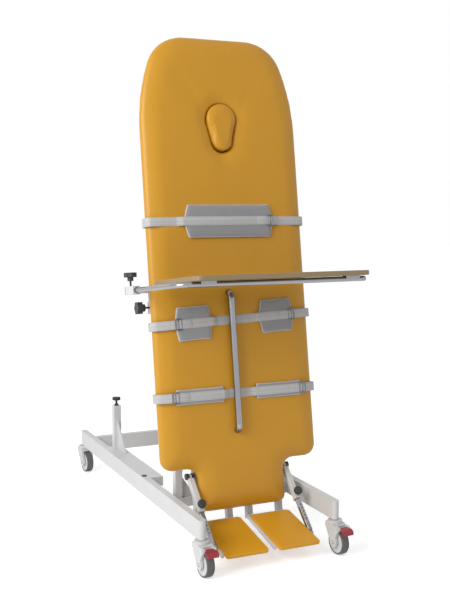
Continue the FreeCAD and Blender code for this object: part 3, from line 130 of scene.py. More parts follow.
# The studio in metres.
LAMP_PLACE, LAMP_AIM, LAMP_SIZE = Vector((-4.0, -1.9, 2.9)), Vector((0, -0.5, 0.9)), 2.6
FLOOR_HALF_SIZE, FAR_CLIP = 20, 60


def linear(code):
    """The linear colour of an sRGB hex value."""
    channels = [int(code[at:at + 2], 16) / 255 for at in (1, 3, 5)]
    return tuple(c / 12.92 if c <= 0.04045 else ((c + 0.055) / 1.055) ** 2.4 for c in channels)


def colour_property(name, description, code):
    return FloatVectorProperty(name=name, description=description, subtype="COLOR", size=3,
                               min=0, max=1, default=linear(code))


def length_property(name, description, millimetres):
    return FloatProperty(name=name, description=description, unit="LENGTH", subtype="DISTANCE",
                         min=0, precision=4, default=millimetres * MM)


class TiltTableColours(bpy.types.PropertyGroup):
    vinyl: colour_property("Mattress", "Vinyl of the mattress and the plug", "#D0961F")
    plate: colour_property("Foot plates", "Coating of the foot plates", "#E2A21A")
    paint: colour_property("Frame", "Powder coat of the welded frame", "#D2D2D2")
    webbing: colour_property("Belts", "Woven belts", "#C2C2C2")
    pad: colour_property("Belt pads", "Spacer fabric of the belt pads", "#97989B")
    binding: colour_property("Binding", "Tape round the belt pads", "#C2C2C2")
    knob: colour_property("Knobs", "Moulded knobs and caps", "#343435")
    pedal: colour_property("Pedals", "Brake pedals of the casters", "#99303B")
    tread: colour_property("Treads", "Rubber treads of the casters", "#616162")
    hub: colour_property("Hubs", "Moulded wheel centres and caster housings", "#D0D0D0")
    board: colour_property("Tray", "Laminate of the tray board", "#937E5A")
    plywood: colour_property("Deck", "Plywood under the mattress", "#C2A277")
    floor: colour_property("Floor", "Studio floor", "#F2F2F2")


class TiltTablePadding(bpy.types.PropertyGroup):
    mattress_voxel: length_property("Mattress grid", "Size of the mattress grid before it is inflated", 10.5)
    pad_voxel: length_property("Pad grid", "Size of the pad grids before they are inflated", 4)
    mattress_swell: length_property("Mattress swell", "Furthest that the mattress swells", 4)
    pad_swell: length_property("Pad swell", "Furthest that a belt pad swells", 2.4)
    plug_swell: length_property("Plug swell", "Furthest that the plug swells", 3)
    pressure: FloatProperty(name="Pressure", description="Pressure inside the padding", default=4, min=0)
    steps: IntProperty(name="Steps", description="Steps of the inflation", default=20, min=2, max=40)
    hole_sink: length_property("Hole sink", "How far the cover is drawn in round the breathing hole", 6.5)
    crown: length_property("Crown", "How much more the mattress falls away at its edges than its solid", 8)
    crown_run: length_property("Crown run", "How far from its edges the mattress begins to fall away", 78)


class TiltTableBelts(bpy.types.PropertyGroup):
    width: length_property("Width", "Width of the woven belts", 36)
    thickness: length_property("Thickness", "Thickness of the woven belts", 2)
    binding_width: length_property("Binding width", "Width of the tape round the pads", 7)
    binding_thickness: length_property("Binding thickness", "Thickness of the tape round the pads", 0.6)
    stitch_pitch: length_property("Stitch pitch", "Distance from one stitch to the next", 4.5)
    stitch_length: length_property("Stitch length", "Length of one stitch", 3)
    stitch_diameter: length_property("Thread", "Diameter of the thread", 0.7)


class TiltTableStage(bpy.types.PropertyGroup):
    camera_place: FloatVectorProperty(name="Camera", description="Place of the camera", subtype="TRANSLATION",
                                      unit="LENGTH", size=3, default=(-1.6332, -3.95, 1.3735))
    camera_pitch: FloatProperty(name="Pitch", description="Camera's angle from straight down",
                                subtype="ANGLE", unit="ROTATION", default=math.radians(84.2))
    camera_yaw: FloatProperty(name="Yaw", description="Camera's turn about the vertical", subtype="ANGLE",
                              unit="ROTATION", default=math.radians(-24.4))
    lens: FloatProperty(name="Lens", description="Focal length in millimetres", default=57.76, min=1)
    sky: FloatProperty(name="Sky", description="Strength of the even light from all round",
                       default=0.56, min=0)
    floor_glow: FloatProperty(name="Floor glow", description="Light that the white floor gives off by itself",
                              default=0.5, min=0)
    key_power: FloatProperty(name="Key lamp", description="Power of the large lamp on the left", unit="POWER",
                             default=150, min=0)


def add_node(tree, kind, inputs=None, **settings):
    """Adds a node with its settings; an input is given a value or linked to another node's output."""
    node = tree.nodes.new(kind)
    for name, value in settings.items():
        setattr(node, name, value)
    for key, value in (inputs or {}).items():
        if isinstance(value, bpy.types.NodeSocket):
            tree.links.new(value, node.inputs[key])
        else:
            node.inputs[key].default_value = value
    return node


def new_material(name):
    """A material with an output, and the object's own coordinates to place its patterns."""
    material = bpy.data.materials.new(name)
    material.use_nodes = True
    tree = material.node_tree
    tree.nodes.clear()
    shader = add_node(tree, "ShaderNodeBsdfPrincipled")
    add_node(tree, "ShaderNodeOutputMaterial", {"Surface": shader.outputs[0]})
    place = add_node(tree, "ShaderNodeTexCoord").outputs["Object"]
    return material, tree, shader, place


def shaded(colour, share):
    return tuple(min(c * share, 1) for c in colour[:3]) + (1,)


def per_mm(size):
    """The scale of a pattern whose cells are this many millimetres across."""
    return 1000 / size


def connect(tree, shader, **sockets):
    for name, value in sockets.items():
        socket = shader.inputs[name.replace("_", " ")]
        if isinstance(value, bpy.types.NodeSocket):
            tree.links.new(value, socket)
        else:
            socket.default_value = value


def noise_pattern(tree, place, size_mm, detail, **inputs):
    """A noise whose cells are about this many millimetres across."""
    values = {"Vector": place, "Scale": per_mm(size_mm), "Detail": detail, **inputs}
    return add_node(tree, "ShaderNodeTexNoise", values).outputs[0]


def between(tree, share, low, high):
    """The colour a share of the way from one to the other."""
    return add_node(tree, "ShaderNodeMix", {0: share, 6: low, 7: high}, data_type="RGBA").outputs[2]


def ranged(tree, value, low, high, start=0.0, end=1.0):
    """A value from start to end mapped to the range from low to high."""
    return add_node(tree, "ShaderNodeMapRange", {0: value, 1: start, 2: end, 3: low, 4: high}).outputs[0]


def combined(tree, first, second, operation):
    return add_node(tree, "ShaderNodeMath", {0: first, 1: second}, operation=operation).outputs[0]


def relief_of(tree, height, strength, depth_mm, **settings):
    """A bump from a pattern, at its real depth."""
    values = {"Height": height, "Strength": strength, "Distance": depth_mm * MM}
    return add_node(tree, "ShaderNodeBump", values, **settings).outputs[0]


def level_place(tree, place, turn):
    """The coordinates turned back to a board or a bed that leans by an angle."""
    return add_node(tree, "ShaderNodeMapping", {"Vector": place, "Rotation": (-turn, 0, 0)}).outputs[0]


def vinyl_material(name, colour, grain_mm, relief, roughness):
    """Calendered PVC upholstery cloth: an embossed pebble grain under a satin lacquer."""
    material, tree, shader, place = new_material(name)
    # Slow change of tone from stretching over the foam.
    tone = noise_pattern(tree, place, 260, 3.0)
    # The real grain is about 1 mm; it is drawn coarser so that it shows.
    grain = add_node(tree, "ShaderNodeTexVoronoi", {"Vector": place, "Scale": per_mm(grain_mm)},
                     feature="SMOOTH_F1").outputs["Distance"]
    pores = noise_pattern(tree, place, grain_mm / 2, 4.0)
    paint = between(tree, tone, shaded(colour, 0.93), shaded(colour, 1.07))
    connect(tree, shader,
            Base_Color=between(tree, grain, paint, shaded(colour, 0.86)),
            Roughness=ranged(tree, pores, roughness - 0.05, roughness + 0.07),
            Normal=relief_of(tree, combined(tree, grain, pores, "ADD"), relief, 0.25),
            IOR=1.45, Coat_Weight=0.06, Coat_Roughness=0.35)
    return material


def paint_material(name, colour, roughness=0.34):
    """Powder coated steel: a smooth satin white with a faint orange peel."""
    material, tree, shader, place = new_material(name)
    peel = noise_pattern(tree, place, 3.5, 2.0)
    tone = noise_pattern(tree, place, 140, 4.0)
    scuffs = noise_pattern(tree, place, 22, 8.0, Distortion=1.2)
    paint = between(tree, tone, shaded(colour, 0.95), shaded(colour, 1.03))
    scuffed = ranged(tree, scuffs, 0.0, 0.5, 0.62, 0.78)
    connect(tree, shader,
            Base_Color=between(tree, scuffed, paint, shaded(colour, 0.86)),
            Roughness=ranged(tree, scuffs, roughness - 0.06, roughness + 0.1),
            Normal=relief_of(tree, peel, 0.25, 0.12),
            IOR=1.5)
    return material


def metal_material(name, colour, roughness, brushed_mm, relief, along):
    """Bare or plated metal with fine lines left by its polishing, stretched along one axis."""
    material, tree, shader, place = new_material(name)
    stretch = add_node(tree, "ShaderNodeMapping", {"Vector": place, "Scale": along}).outputs[0]
    lines = noise_pattern(tree, stretch, brushed_mm, 5.0)
    haze = noise_pattern(tree, place, 60, 4.0)
    blur = combined(tree, lines, haze, "ADD")
    connect(tree, shader,
            Base_Color=between(tree, haze, shaded(colour, 0.9), shaded(colour, 1.05)),
            Roughness=ranged(tree, blur, roughness * 0.6, roughness * 1.4, 0.0, 2.0),
            Normal=relief_of(tree, lines, relief, 0.05),
            Metallic=1.0)
    return material


def moulded_material(name, colour, roughness, spark_mm, relief):
    """Injection moulded plastic: even colour with the fine spark texture of its mould."""
    material, tree, shader, place = new_material(name)
    spark = noise_pattern(tree, place, spark_mm, 3.0)
    flow = noise_pattern(tree, place, 35, 3.0)
    connect(tree, shader,
            Base_Color=between(tree, flow, shaded(colour, 0.92), shaded(colour, 1.08)),
            Roughness=ranged(tree, flow, roughness - 0.06, roughness + 0.08),
            Normal=relief_of(tree, spark, relief, 0.1))
    return material


def webbing_material(name, colour):
    """Woven polyester belt: ribs along its length, crossed by finer weft threads."""
    material, tree, shader, _ = new_material(name)
    uv = add_node(tree, "ShaderNodeUVMap", uv_map="weave").outputs[0]
    # A wave at scale 1 has 20 bands to the unit.
    bands = 20
    # Real ribs are 1.2 mm apart; they are drawn 2.4 mm apart so that they show.
    ribs = add_node(tree, "ShaderNodeTexWave", {"Vector": uv, "Scale": per_mm(2.4 * bands),
                                                "Distortion": 0.0}, bands_direction="Y")
    weft = add_node(tree, "ShaderNodeTexWave", {"Vector": uv, "Scale": per_mm(1.8 * bands), "Distortion": 1.0,
                                                "Detail": 1.0, "Detail Scale": 2.0}, bands_direction="X")
    fuzz = noise_pattern(tree, uv, 14, 6.0)
    weave = combined(tree, ribs.outputs["Fac"], weft.outputs["Fac"], "MULTIPLY")
    # The low grooves between the ribs and the weft threads are drawn darker, as painted shade in them.
    shade = between(tree, weave, shaded(colour, 0.78), shaded(colour, 1.06))
    connect(tree, shader,
            Base_Color=between(tree, fuzz, shade, shaded(colour, 0.95)),
            Roughness=0.62,
            Normal=relief_of(tree, weave, 0.5, 0.3),
            Sheen_Weight=0.25, Sheen_Roughness=0.5)
    return material


def pad_material(name, colour):
    """Spacer fabric: a knitted mesh of small round cells over foam."""
    material, tree, shader, place = new_material(name)
    # Cells of the real knit are 2 mm across; they are drawn 3 mm across.
    cells = add_node(tree, "ShaderNodeTexVoronoi", {"Vector": level_place(tree, place, BED_TILT),
                                                    "Scale": per_mm(3.0), "Randomness": 0.25},
                     voronoi_dimensions="2D")
    mottle = noise_pattern(tree, place, 55, 5.0)
    # The open holes of the knit are drawn darker than the thread, as painted shade inside them.
    holes = ranged(tree, cells.outputs["Distance"], 0.0, 1.0, 0.12, 0.42)
    thread = between(tree, mottle, shaded(colour, 0.9), shaded(colour, 1.12))
    connect(tree, shader,
            Base_Color=between(tree, holes, shaded(colour, 0.66), thread),
            Roughness=0.8,
            Normal=relief_of(tree, holes, 0.6, 0.4),
            Sheen_Weight=0.3, Sheen_Roughness=0.6)
    return material


def tape_material(name, colour, pitch_mm):
    """Ribbed binding tape and sewing thread of spun polyester."""
    material, tree, shader, place = new_material(name)
    ribs = add_node(tree, "ShaderNodeTexVoronoi", {"Vector": level_place(tree, place, BED_TILT),
                                                   "Scale": per_mm(pitch_mm), "Randomness": 0.5})
    height = ribs.outputs["Distance"]
    # The low grooves between the ribs are drawn darker, as painted shade in them.
    connect(tree, shader,
            Base_Color=between(tree, height, shaded(colour, 1.05), shaded(colour, 0.8)),
            Roughness=0.7,
            Normal=relief_of(tree, height, 0.4, 0.2, invert=True),
            Sheen_Weight=0.2, Sheen_Roughness=0.5)
    return material


def wood_material(name, colour, turn, stretch, ring_mm, roughness, coat):
    """Wood or its printed laminate: long grain with fine pores, stretched along the board."""
    material, tree, shader, place = new_material(name)
    squeeze = add_node(tree, "ShaderNodeMapping", {"Vector": level_place(tree, place, turn),
                                                   "Scale": stretch}).outputs[0]
    rings = noise_pattern(tree, squeeze, ring_mm, 6.0, Distortion=0.6)
    pores = noise_pattern(tree, squeeze, ring_mm / 8, 3.0)
    grain = between(tree, rings, shaded(colour, 0.82), shaded(colour, 1.12))
    fleck = ranged(tree, pores, 0.0, 0.35, 0.55, 0.75)
    connect(tree, shader,
            Base_Color=between(tree, fleck, grain, shaded(colour, 0.6)),
            Roughness=ranged(tree, rings, roughness - 0.05, roughness + 0.08),
            Normal=relief_of(tree, pores, 0.25, 0.15),
            Coat_Weight=coat, Coat_Roughness=0.3)
    return material


def shared_material(name, maker, *values):
    """The material of this name, made when it is first asked for."""
    return bpy.data.materials.get(name) or maker(name, *values)


def upholstery(colours):
    return shared_material("pvc_upholstery_cloth", vinyl_material, colours.vinyl, 2.6, 0.35, 0.4)


def sewing_thread(colours):
    return shared_material("sewing_thread", tape_material, colours.binding, 0.8)


def zinc_plate():
    return shared_material("zinc_plated_steel", metal_material, linear("#B4B6BA"), 0.4, 6, 0.2, (1, 1, 1))


def dress(material, *names):
    """Gives CAD nodes their finish."""
    for name in names:
        mesh = frame["nodes"][name].data
        mesh.materials.clear()
        mesh.materials.append(material)


def add_object(name, mesh, material, body):
    """Links a finished mesh as a piece that rides on a body."""
    for polygon in mesh.polygons:
        polygon.use_smooth = True
    mesh.materials.clear()
    mesh.materials.append(material)
    piece = bpy.data.objects.new(name, mesh)
    bpy.context.scene.collection.objects.link(piece)
    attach(piece, body)
    return piece


def mesh_from(bm, name):
    mesh = bpy.data.meshes.new(name)
    bm.to_mesh(mesh)
    bm.free()
    return mesh


def evaluated_mesh(piece):
    graph = bpy.context.evaluated_depsgraph_get()
    return bpy.data.meshes.new_from_object(piece.evaluated_get(graph))


def with_modifiers(mesh, *modifiers):
    """A copy of the mesh with these modifiers applied; each is a kind and its settings."""
    helper = bpy.data.objects.new("helper", mesh)
    bpy.context.scene.collection.objects.link(helper)
    for kind, settings in modifiers:
        modifier = helper.modifiers.new(kind.lower(), kind)
        for key, value in settings.items():
            setattr(modifier, key, value)
    result = evaluated_mesh(helper)
    bpy.data.objects.remove(helper)
    return result


def inflated(mesh, pressure, swell, steps):
    """The mesh blown up as cloth, where no point moves further than the swell."""
    helper = bpy.data.objects.new("inflating", mesh)
    scene = bpy.context.scene
    scene.collection.objects.link(helper)
    cloth = helper.modifiers.new("cloth", "CLOTH")
    cloth.settings.quality = 4
    cloth.settings.use_pressure = True
    cloth.settings.uniform_pressure_force = pressure
    cloth.settings.effector_weights.gravity = 0
    cloth.settings.tension_stiffness = CLOTH_STIFFNESS
    cloth.settings.compression_stiffness = CLOTH_STIFFNESS
    cloth.point_cache.frame_start = 1
    cloth.point_cache.frame_end = steps
    rest = [vertex.co.copy() for vertex in mesh.vertices]
    for step in range(1, steps + 1):
        scene.frame_set(step)
        bpy.context.view_layer.update()
    result = evaluated_mesh(helper)
    bpy.data.objects.remove(helper)
    scene.frame_set(1)
    gained = 0
    for vertex, start in zip(result.vertices, rest):
        move = vertex.co - start
        if move.length > swell:
            vertex.co = start + move * (swell / move.length)
        gained += (vertex.co - start).dot(vertex.normal) / len(rest)
    # The cover is let out by what the foam didn't gain, so that the form keeps its real size.
    return with_modifiers(
        result,
        ("SMOOTH", {"factor": 0.5, "iterations": 3}),
        ("DISPLACE", {"strength": swell * FILLED_SHARE - gained, "mid_level": 0}),
    )


def padded_copy(node, place, voxel, swell, fillings=()):
    """A soft form grown from a node's solid, in the frame of its place, with its small holes filled."""
    padding = bpy.context.scene.tilt_padding
    bm = bmesh.new()
    bm.from_mesh(frame["nodes"][node].data)
    bmesh.ops.remove_doubles(bm, verts=bm.verts, dist=0.02 * MM)
    bmesh.ops.transform(bm, matrix=place.inverted(), verts=bm.verts)
    for middle, radius, depth in fillings:
        bmesh.ops.create_cone(bm, cap_ends=True, segments=32, radius1=radius, radius2=radius, depth=depth,
                              matrix=Matrix.Translation(middle))
    mesh = with_modifiers(
        mesh_from(bm, node + "_form"),
        ("REMESH", {"mode": "VOXEL", "voxel_size": voxel}),
        ("SMOOTH", {"factor": 0.5, "iterations": 2}),
        ("DISPLACE", {"strength": -swell, "mid_level": 0}),
    )
    mesh = inflated(mesh, padding.pressure, swell, padding.steps)
    return with_modifiers(mesh, ("SUBSURF", {"levels": 1, "render_levels": 1}))


def hole_distance(x, y):
    """Distance from the outline of the breathing hole, negative inside it."""
    big_y, big, small_y, small = FACE_HOLE
    span = big_y - small_y
    slope = (small - big) / span
    rise = math.sqrt(1 - slope * slope)
    side, along = abs(x), y - small_y
    foot = along * rise - side * slope
    if foot < 0:
        return math.hypot(side, along) - small
    if foot > span * rise:
        return math.hypot(side, along - span) - big
    return side * rise + along * slope - small


def falloff(distance, reach):
    """From 1 at no distance down to 0 far beyond the reach."""
    return math.exp(-(distance / reach) ** 2)


def side_tree(mesh):
    """Points of the mattress's outer side, seen from above."""
    side = [
        v.co for v in mesh.vertices
        if SIDE_LOW < v.co.z < SIDE_HIGH and hole_distance(*v.co.xy) > HOLE_CLEARANCE
    ]
    tree = KDTree(len(side))
    for index, point in enumerate(side):
        tree.insert((point.x, point.y, 0), index)
    tree.balance()
    return tree


def sink_cover(mesh, sink, crown, crown_run):
    """Domes the mattress and draws its cover in round its holes and under its belts, with faint folds."""
    small_y = FACE_HOLE[2]
    outline = side_tree(mesh)
    for vertex in mesh.vertices:
        x, y, z = vertex.co
        share = min((z - SIDE_LOW) / (TOP_LOW - SIDE_LOW), 1)
        if share <= 0:
            continue
        away = max(hole_distance(x, y), 0)
        drop = sink * falloff(away, HOLE_REACH)
        drop += crown * max(1 - outline.find((x, y, 0))[2] / crown_run, 0) ** 2
        angle = math.atan2(x, small_y - y)
        if abs(angle) < FOLD_SPREAD:
            folds = 0.5 + 0.5 * math.cos(angle * FOLD_PITCH)
            drop += FOLD_DEPTH * folds * falloff(away, FOLD_REACH) * math.cos(angle)
        for hole in SEPARATOR_HOLES:
            drop += SEPARATOR_SINK * falloff(math.hypot(x - hole.x, y - hole.y), SEPARATOR_REACH)
        for belt_y, slant, _ in BELTS.values():
            across = y - belt_y * MM - x * math.tan(math.radians(slant))
            drop += BELT_SINK * falloff(across, BELT_REACH)
        drop += UNEVEN_DEPTH * (1 + noise.noise(Vector((x, y, 0)) * UNEVEN_SCALE))
        vertex.co.z -= drop * share


class TILT_OT_mattress(bpy.types.Operator):
    """Makes the inflated mattress with the cover drawn in round its holes"""
    bl_idname = "tilt.mattress"
    bl_label = "Mattress"

    def execute(self, context):
        padding, colours = context.scene.tilt_padding, context.scene.tilt_colours
        drop = Vector((0, 0, FILLING_DROP))
        fillings = [(hole + drop, FILLING_RADIUS, FILLING_DEPTH) for hole in SEPARATOR_HOLES]
        mesh = padded_copy("mattress", BED, padding.mattress_voxel, padding.mattress_swell, fillings)
        sink_cover(mesh, padding.hole_sink, padding.crown, padding.crown_run)
        mesh.transform(BED)
        piece = add_object("mattress_cushion", mesh, upholstery(colours), "bed")
        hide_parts("mattress")
        return {"FINISHED"}


class TILT_OT_face_plug(bpy.types.Operator):
    """Makes the padded stopper of the breathing hole"""
    bl_idname = "tilt.face_plug"
    bl_label = "Breathing hole plug"

    def execute(self, context):
        padding, colours = context.scene.tilt_padding, context.scene.tilt_colours
        mesh = padded_copy("face_plug", BED, padding.pad_voxel, padding.plug_swell)
        mesh.transform(BED)
        piece = add_object("face_plug_cushion", mesh, upholstery(colours), "face_plug")
        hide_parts("face_plug")
        return {"FINISHED"}


def belt_place(belt):
    """The frame of a belt: x along it, z up from the mattress top."""
    y, slant, _ = BELTS[belt]
    return BED @ Matrix.Translation((0, y * MM, 0)) @ Matrix.Rotation(math.radians(slant), 4, "Z")


def pad_corners(middle, half_length, height, left_point, right_point):
    """Corners of a pad's outline in metres, anticlockwise."""
    half = height / 2
    left, right = middle - half_length, middle + half_length
    corners = [(left + left_point, -half), (right - right_point, -half)]
    if right_point:
        corners.append((right, 0))
    corners += [(right - right_point, half), (left + left_point, half)]
    if left_point:
        corners.append((left, 0))
    return [Vector((x, y, 0)) * MM for x, y in corners]


def outline_sides(corners):
    """Each side of an outline as its start, its direction, its length and its inward normal."""
    sides = []
    for index, start in enumerate(corners):
        run = corners[(index + 1) % len(corners)] - start
        along = run.normalized()
        sides.append((start, along, run.length, Vector((-along.y, along.x, 0))))
    return sides


def binding_mesh(pad, corners, width, thickness):
    """Tape folded round a pad's edge: the pad's own rim, cut clean and thickened."""
    bm = bmesh.new()
    bm.from_mesh(pad)
    sides = outline_sides(corners)
    for start, _, _, inward in sides:
        geometry = bm.verts[:] + bm.edges[:] + bm.faces[:]
        bmesh.ops.bisect_plane(bm, geom=geometry, plane_co=start + inward * width, plane_no=inward)
    inner = [
        face for face in bm.faces
        if all((face.calc_center_median() - start).dot(inward) > width for start, _, _, inward in sides)
    ]
    bmesh.ops.delete(bm, geom=inner, context="FACES")
    bmesh.ops.remove_doubles(bm, verts=bm.verts, dist=0.05 * MM)
    mesh = mesh_from(bm, "binding")
    return with_modifiers(mesh, ("SOLIDIFY", {"thickness": thickness, "offset": 1.0}))


def add_stitch(bm, start, end, diameter):
    """One stitch: a short thread with rounded ends."""
    middle, run = (start + end) / 2, end - start
    turn = run.to_track_quat("Z", "Y").to_matrix().to_4x4()
    place = Matrix.Translation(middle) @ turn @ Matrix.Diagonal((diameter, diameter, run.length, 1))
    bmesh.ops.create_icosphere(bm, subdivisions=1, radius=0.5, matrix=place)


def stitched_line(bm, tree, start, end, belts, drop=0.05):
    """A row of stitches from start to end, laid on the surface of a pad or a belt."""
    run = end - start
    count = max(int(run.length / belts.stitch_pitch), 1)
    along = run / count
    half = along.normalized() * belts.stitch_length / 2
    for index in range(count):
        middle = start + along * (index + 0.5)
        ends = []
        for offset in (-half, half):
            above = middle + offset + Vector((0, 0, drop))
            hit = tree.ray_cast(above, Vector((0, 0, -1)))[0]
            if hit is None:
                break
            ends.append(hit)
        if len(ends) == 2:
            add_stitch(bm, ends[0], ends[1], belts.stitch_diameter)


class TILT_OT_belt_pads(bpy.types.Operator):
    """Makes the inflated pads of the belts with their binding and its stitches"""
    bl_idname = "tilt.belt_pads"
    bl_label = "Belt pads"

    def execute(self, context):
        scene = context.scene
        padding, colours, belts = scene.tilt_padding, scene.tilt_colours, scene.tilt_belts
        fabric = shared_material("knitted_spacer_fabric", pad_material, colours.pad)
        tape = shared_material("binding_tape", tape_material, colours.binding, 1.6)
        thread = sewing_thread(colours)
        for belt, (_, _, pads) in BELTS.items():
            place = belt_place(belt)
            for name, shape in pads.items():
                corners = pad_corners(*shape)
                mesh = padded_copy(name, place, padding.pad_voxel, padding.pad_swell)
                binding = binding_mesh(mesh, corners, belts.binding_width, belts.binding_thickness)
                bm = bmesh.new()
                bm.from_mesh(binding)
                tree = BVHTree.FromBMesh(bm)
                bm.free()
                bm = bmesh.new()
                inset = belts.binding_width * STITCH_INSET_SHARE
                for start, along, length, inward in outline_sides(corners):
                    first = start + inward * inset + along * inset
                    stitched_line(bm, tree, first, first + along * (length - 2 * inset), belts)
                stitches = mesh_from(bm, name + "_stitches")
                for part in (mesh, binding, stitches):
                    part.transform(place)
                piece = add_object(name + "_cushion", mesh, fabric, "bed")
                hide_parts(name)
                add_object(name + "_binding", binding, tape, "bed")
                add_object(name + "_stitching", stitches, thread, "bed")
        return {"FINISHED"}


def belt_line(pads, slack):
    """Corner points of a belt's centre line, as x, z and bend radius in mm, from left to right."""
    side = MATTRESS_SIDE + BELT_REST + slack
    out = RAIL_OUT + LOOP_REST + slack
    back = RAIL_OUT - RAIL_DEPTH - LOOP_REST - slack
    top, bottom = RAIL_TOP + LOOP_REST, RAIL_BOTTOM - LOOP_REST
    right = [(side, -5, 24), (side, -56.3, 6), (out, -74.8, 6), (out, bottom, 1.6), (back, bottom, 1.6),
             (back, top, 1.6), (BELT_END, top, 0)]
    line = [(-x, z, bend) for x, z, bend in reversed(right)]
    # Only a single pad leaves room for the belt to lie on the mattress before its edge.
    lies_flat = len(pads) == 1
    for start, end in pads:
        before, after = [(start - PAD_RAMP, BELT_REST, 6)], [(end + PAD_RAMP, BELT_REST, 6)]
        if lies_flat:
            before.insert(0, (-EDGE_BEND, BELT_REST, 30))
            after.append((EDGE_BEND, BELT_REST, 30))
        # A pad that ends near the mattress's edge holds the belt up until the edge.
        line += before if start > -LAST_RAMP else []
        line += [(start, PAD_REST, 6), (end, PAD_REST, 6)]
        line += after if end < LAST_RAMP else []
    return line + right


def belt_mesh(line, width, thickness):
    """A flat strip folded along its corner points, with a bend at each, thickened into webbing."""
    bm = bmesh.new()
    half = width / 2
    layer = bm.edges.layers.int.new("corner")
    rows = [
        [bm.verts.new((x * MM, side * half, z * MM)) for side in (-1, 1)] for x, z, _ in line
    ]
    for index, (low, high) in enumerate(rows):
        bm.edges.new((low, high))[layer] = index + 1
        if index:
            bm.faces.new((rows[index - 1][0], low, high, rows[index - 1][1]))
    for index in range(1, len(line) - 1):
        before = Vector((line[index][0] - line[index - 1][0], line[index][1] - line[index - 1][1]))
        after = Vector((line[index + 1][0] - line[index][0], line[index + 1][1] - line[index][1]))
        turn = before.angle(after)
        if turn < math.radians(1):
            continue
        edges = [edge for edge in bm.edges if edge[layer] == index + 1]
        bmesh.ops.bevel(bm, geom=edges, offset=line[index][2] * MM * math.tan(turn / 2), offset_type="OFFSET",
                        segments=max(2, round(math.degrees(turn) / 12)), profile=0.5, affect="EDGES",
                        material=-1)
    uv = bm.loops.layers.uv.new("weave")
    for face in bm.faces:
        for loop in face.loops:
            x, y, z = loop.vert.co
            loop[uv].uv = (x + math.copysign(z, -x), y)
    mesh = mesh_from(bm, "belt")
    return with_modifiers(
        mesh,
        ("SOLIDIFY", {"thickness": thickness, "offset": 0.0}),
        ("BEVEL", {"width": 0.5 * MM, "segments": 2, "limit_method": "ANGLE",
                   "angle_limit": math.radians(60)}),
    )


class TILT_OT_belts(bpy.types.Operator):
    """Makes the woven belts, laid over their pads and looped round the accessory rails"""
    bl_idname = "tilt.belts"
    bl_label = "Belts"

    def execute(self, context):
        belts, colours = context.scene.tilt_belts, context.scene.tilt_colours
        webbing = shared_material("woven_polyester_webbing", webbing_material, colours.webbing)
        thread = sewing_thread(colours)
        for belt, (_, slant, pads) in BELTS.items():
            spans = [(middle - half, middle + half) for middle, half, *_ in pads.values()]
            turn = math.radians(slant)
            slack = BELT_HALF_WIDTH * math.sin(turn) + MATTRESS_SIDE * (1 / math.cos(turn) - 1)
            mesh = belt_mesh(belt_line(spans, slack), belts.width, belts.thickness)
            mesh.transform(belt_place(belt))
            piece = add_object(belt + "_belt", mesh, webbing, "bed")
            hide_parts(belt + "_strap")
        ends, seams = bmesh.new(), bmesh.new()
        for belt, x in BUCKLES:
            side = -math.copysign(1, x)
            top = PAD_REST * MM + belts.thickness / 2
            start, end = x * MM, x * MM + side * FLAP_LENGTH * MM
            height = belts.thickness * FLAP_THICKNESS_SHARE
            middle = Matrix.Translation(((start + end) / 2, 0, top + height / 2))
            size = Matrix.Diagonal((abs(end - start), belts.width * FLAP_WIDTH_SHARE, height, 1))
            flap = bmesh.new()
            bmesh.ops.create_cube(flap, size=1, matrix=middle @ size)
            uv = flap.loops.layers.uv.new("weave")
            for face in flap.faces:
                for loop in face.loops:
                    loop[uv].uv = loop.vert.co.xy
            bmesh.ops.bevel(flap, geom=flap.edges[:], offset=0.6 * MM, segments=2, profile=0.5,
                            affect="EDGES", material=-1)
            tree = BVHTree.FromBMesh(flap)
            rows = bmesh.new()
            for share in SEAM_SHARES:
                across = start + (end - start) * share
                reach = belts.width * SEAM_REACH_SHARE
                stitched_line(rows, tree, Vector((across, -reach, 0)), Vector((across, reach, 0)), belts)
            place = belt_place(belt)
            for source, target in ((flap, ends), (rows, seams)):
                bmesh.ops.transform(source, matrix=place, verts=source.verts)
                part = mesh_from(source, "part")
                target.from_mesh(part)
        add_object("belt_ends", mesh_from(ends, "belt_ends"), webbing, "bed")
        add_object("belt_end_stitching", mesh_from(seams, "belt_end_stitching"), thread, "bed")
        return {"FINISHED"}


def add_ring(bm, place, length, width, radius, wire):
    """A closed wire frame with rounded corners, lying level at a place."""
    points = []
    for index, (x, y) in enumerate(((1, 1), (-1, 1), (-1, -1), (1, -1))):
        centre = Vector((x * (length / 2 - radius), y * (width / 2 - radius), 0))
        for step in range(CORNER_STEPS + 1):
            angle = math.radians(90 * index + 90 / CORNER_STEPS * step)
            points.append(centre + Vector((math.cos(angle), math.sin(angle), 0)) * radius)
    curve = bpy.data.curves.new("ring", "CURVE")
    curve.dimensions = "3D"
    curve.bevel_depth = wire / 2
    curve.bevel_resolution = 3
    spline = curve.splines.new("POLY")
    spline.points.add(len(points) - 1)
    spline.use_cyclic_u = True
    for point, co in zip(spline.points, points):
        point.co = (*co, 1)
    helper = bpy.data.objects.new("ring", curve)
    bpy.context.scene.collection.objects.link(helper)
    bpy.context.view_layer.update()
    mesh = evaluated_mesh(helper)
    mesh.transform(place)
    bm.from_mesh(mesh)
    bpy.data.objects.remove(helper)


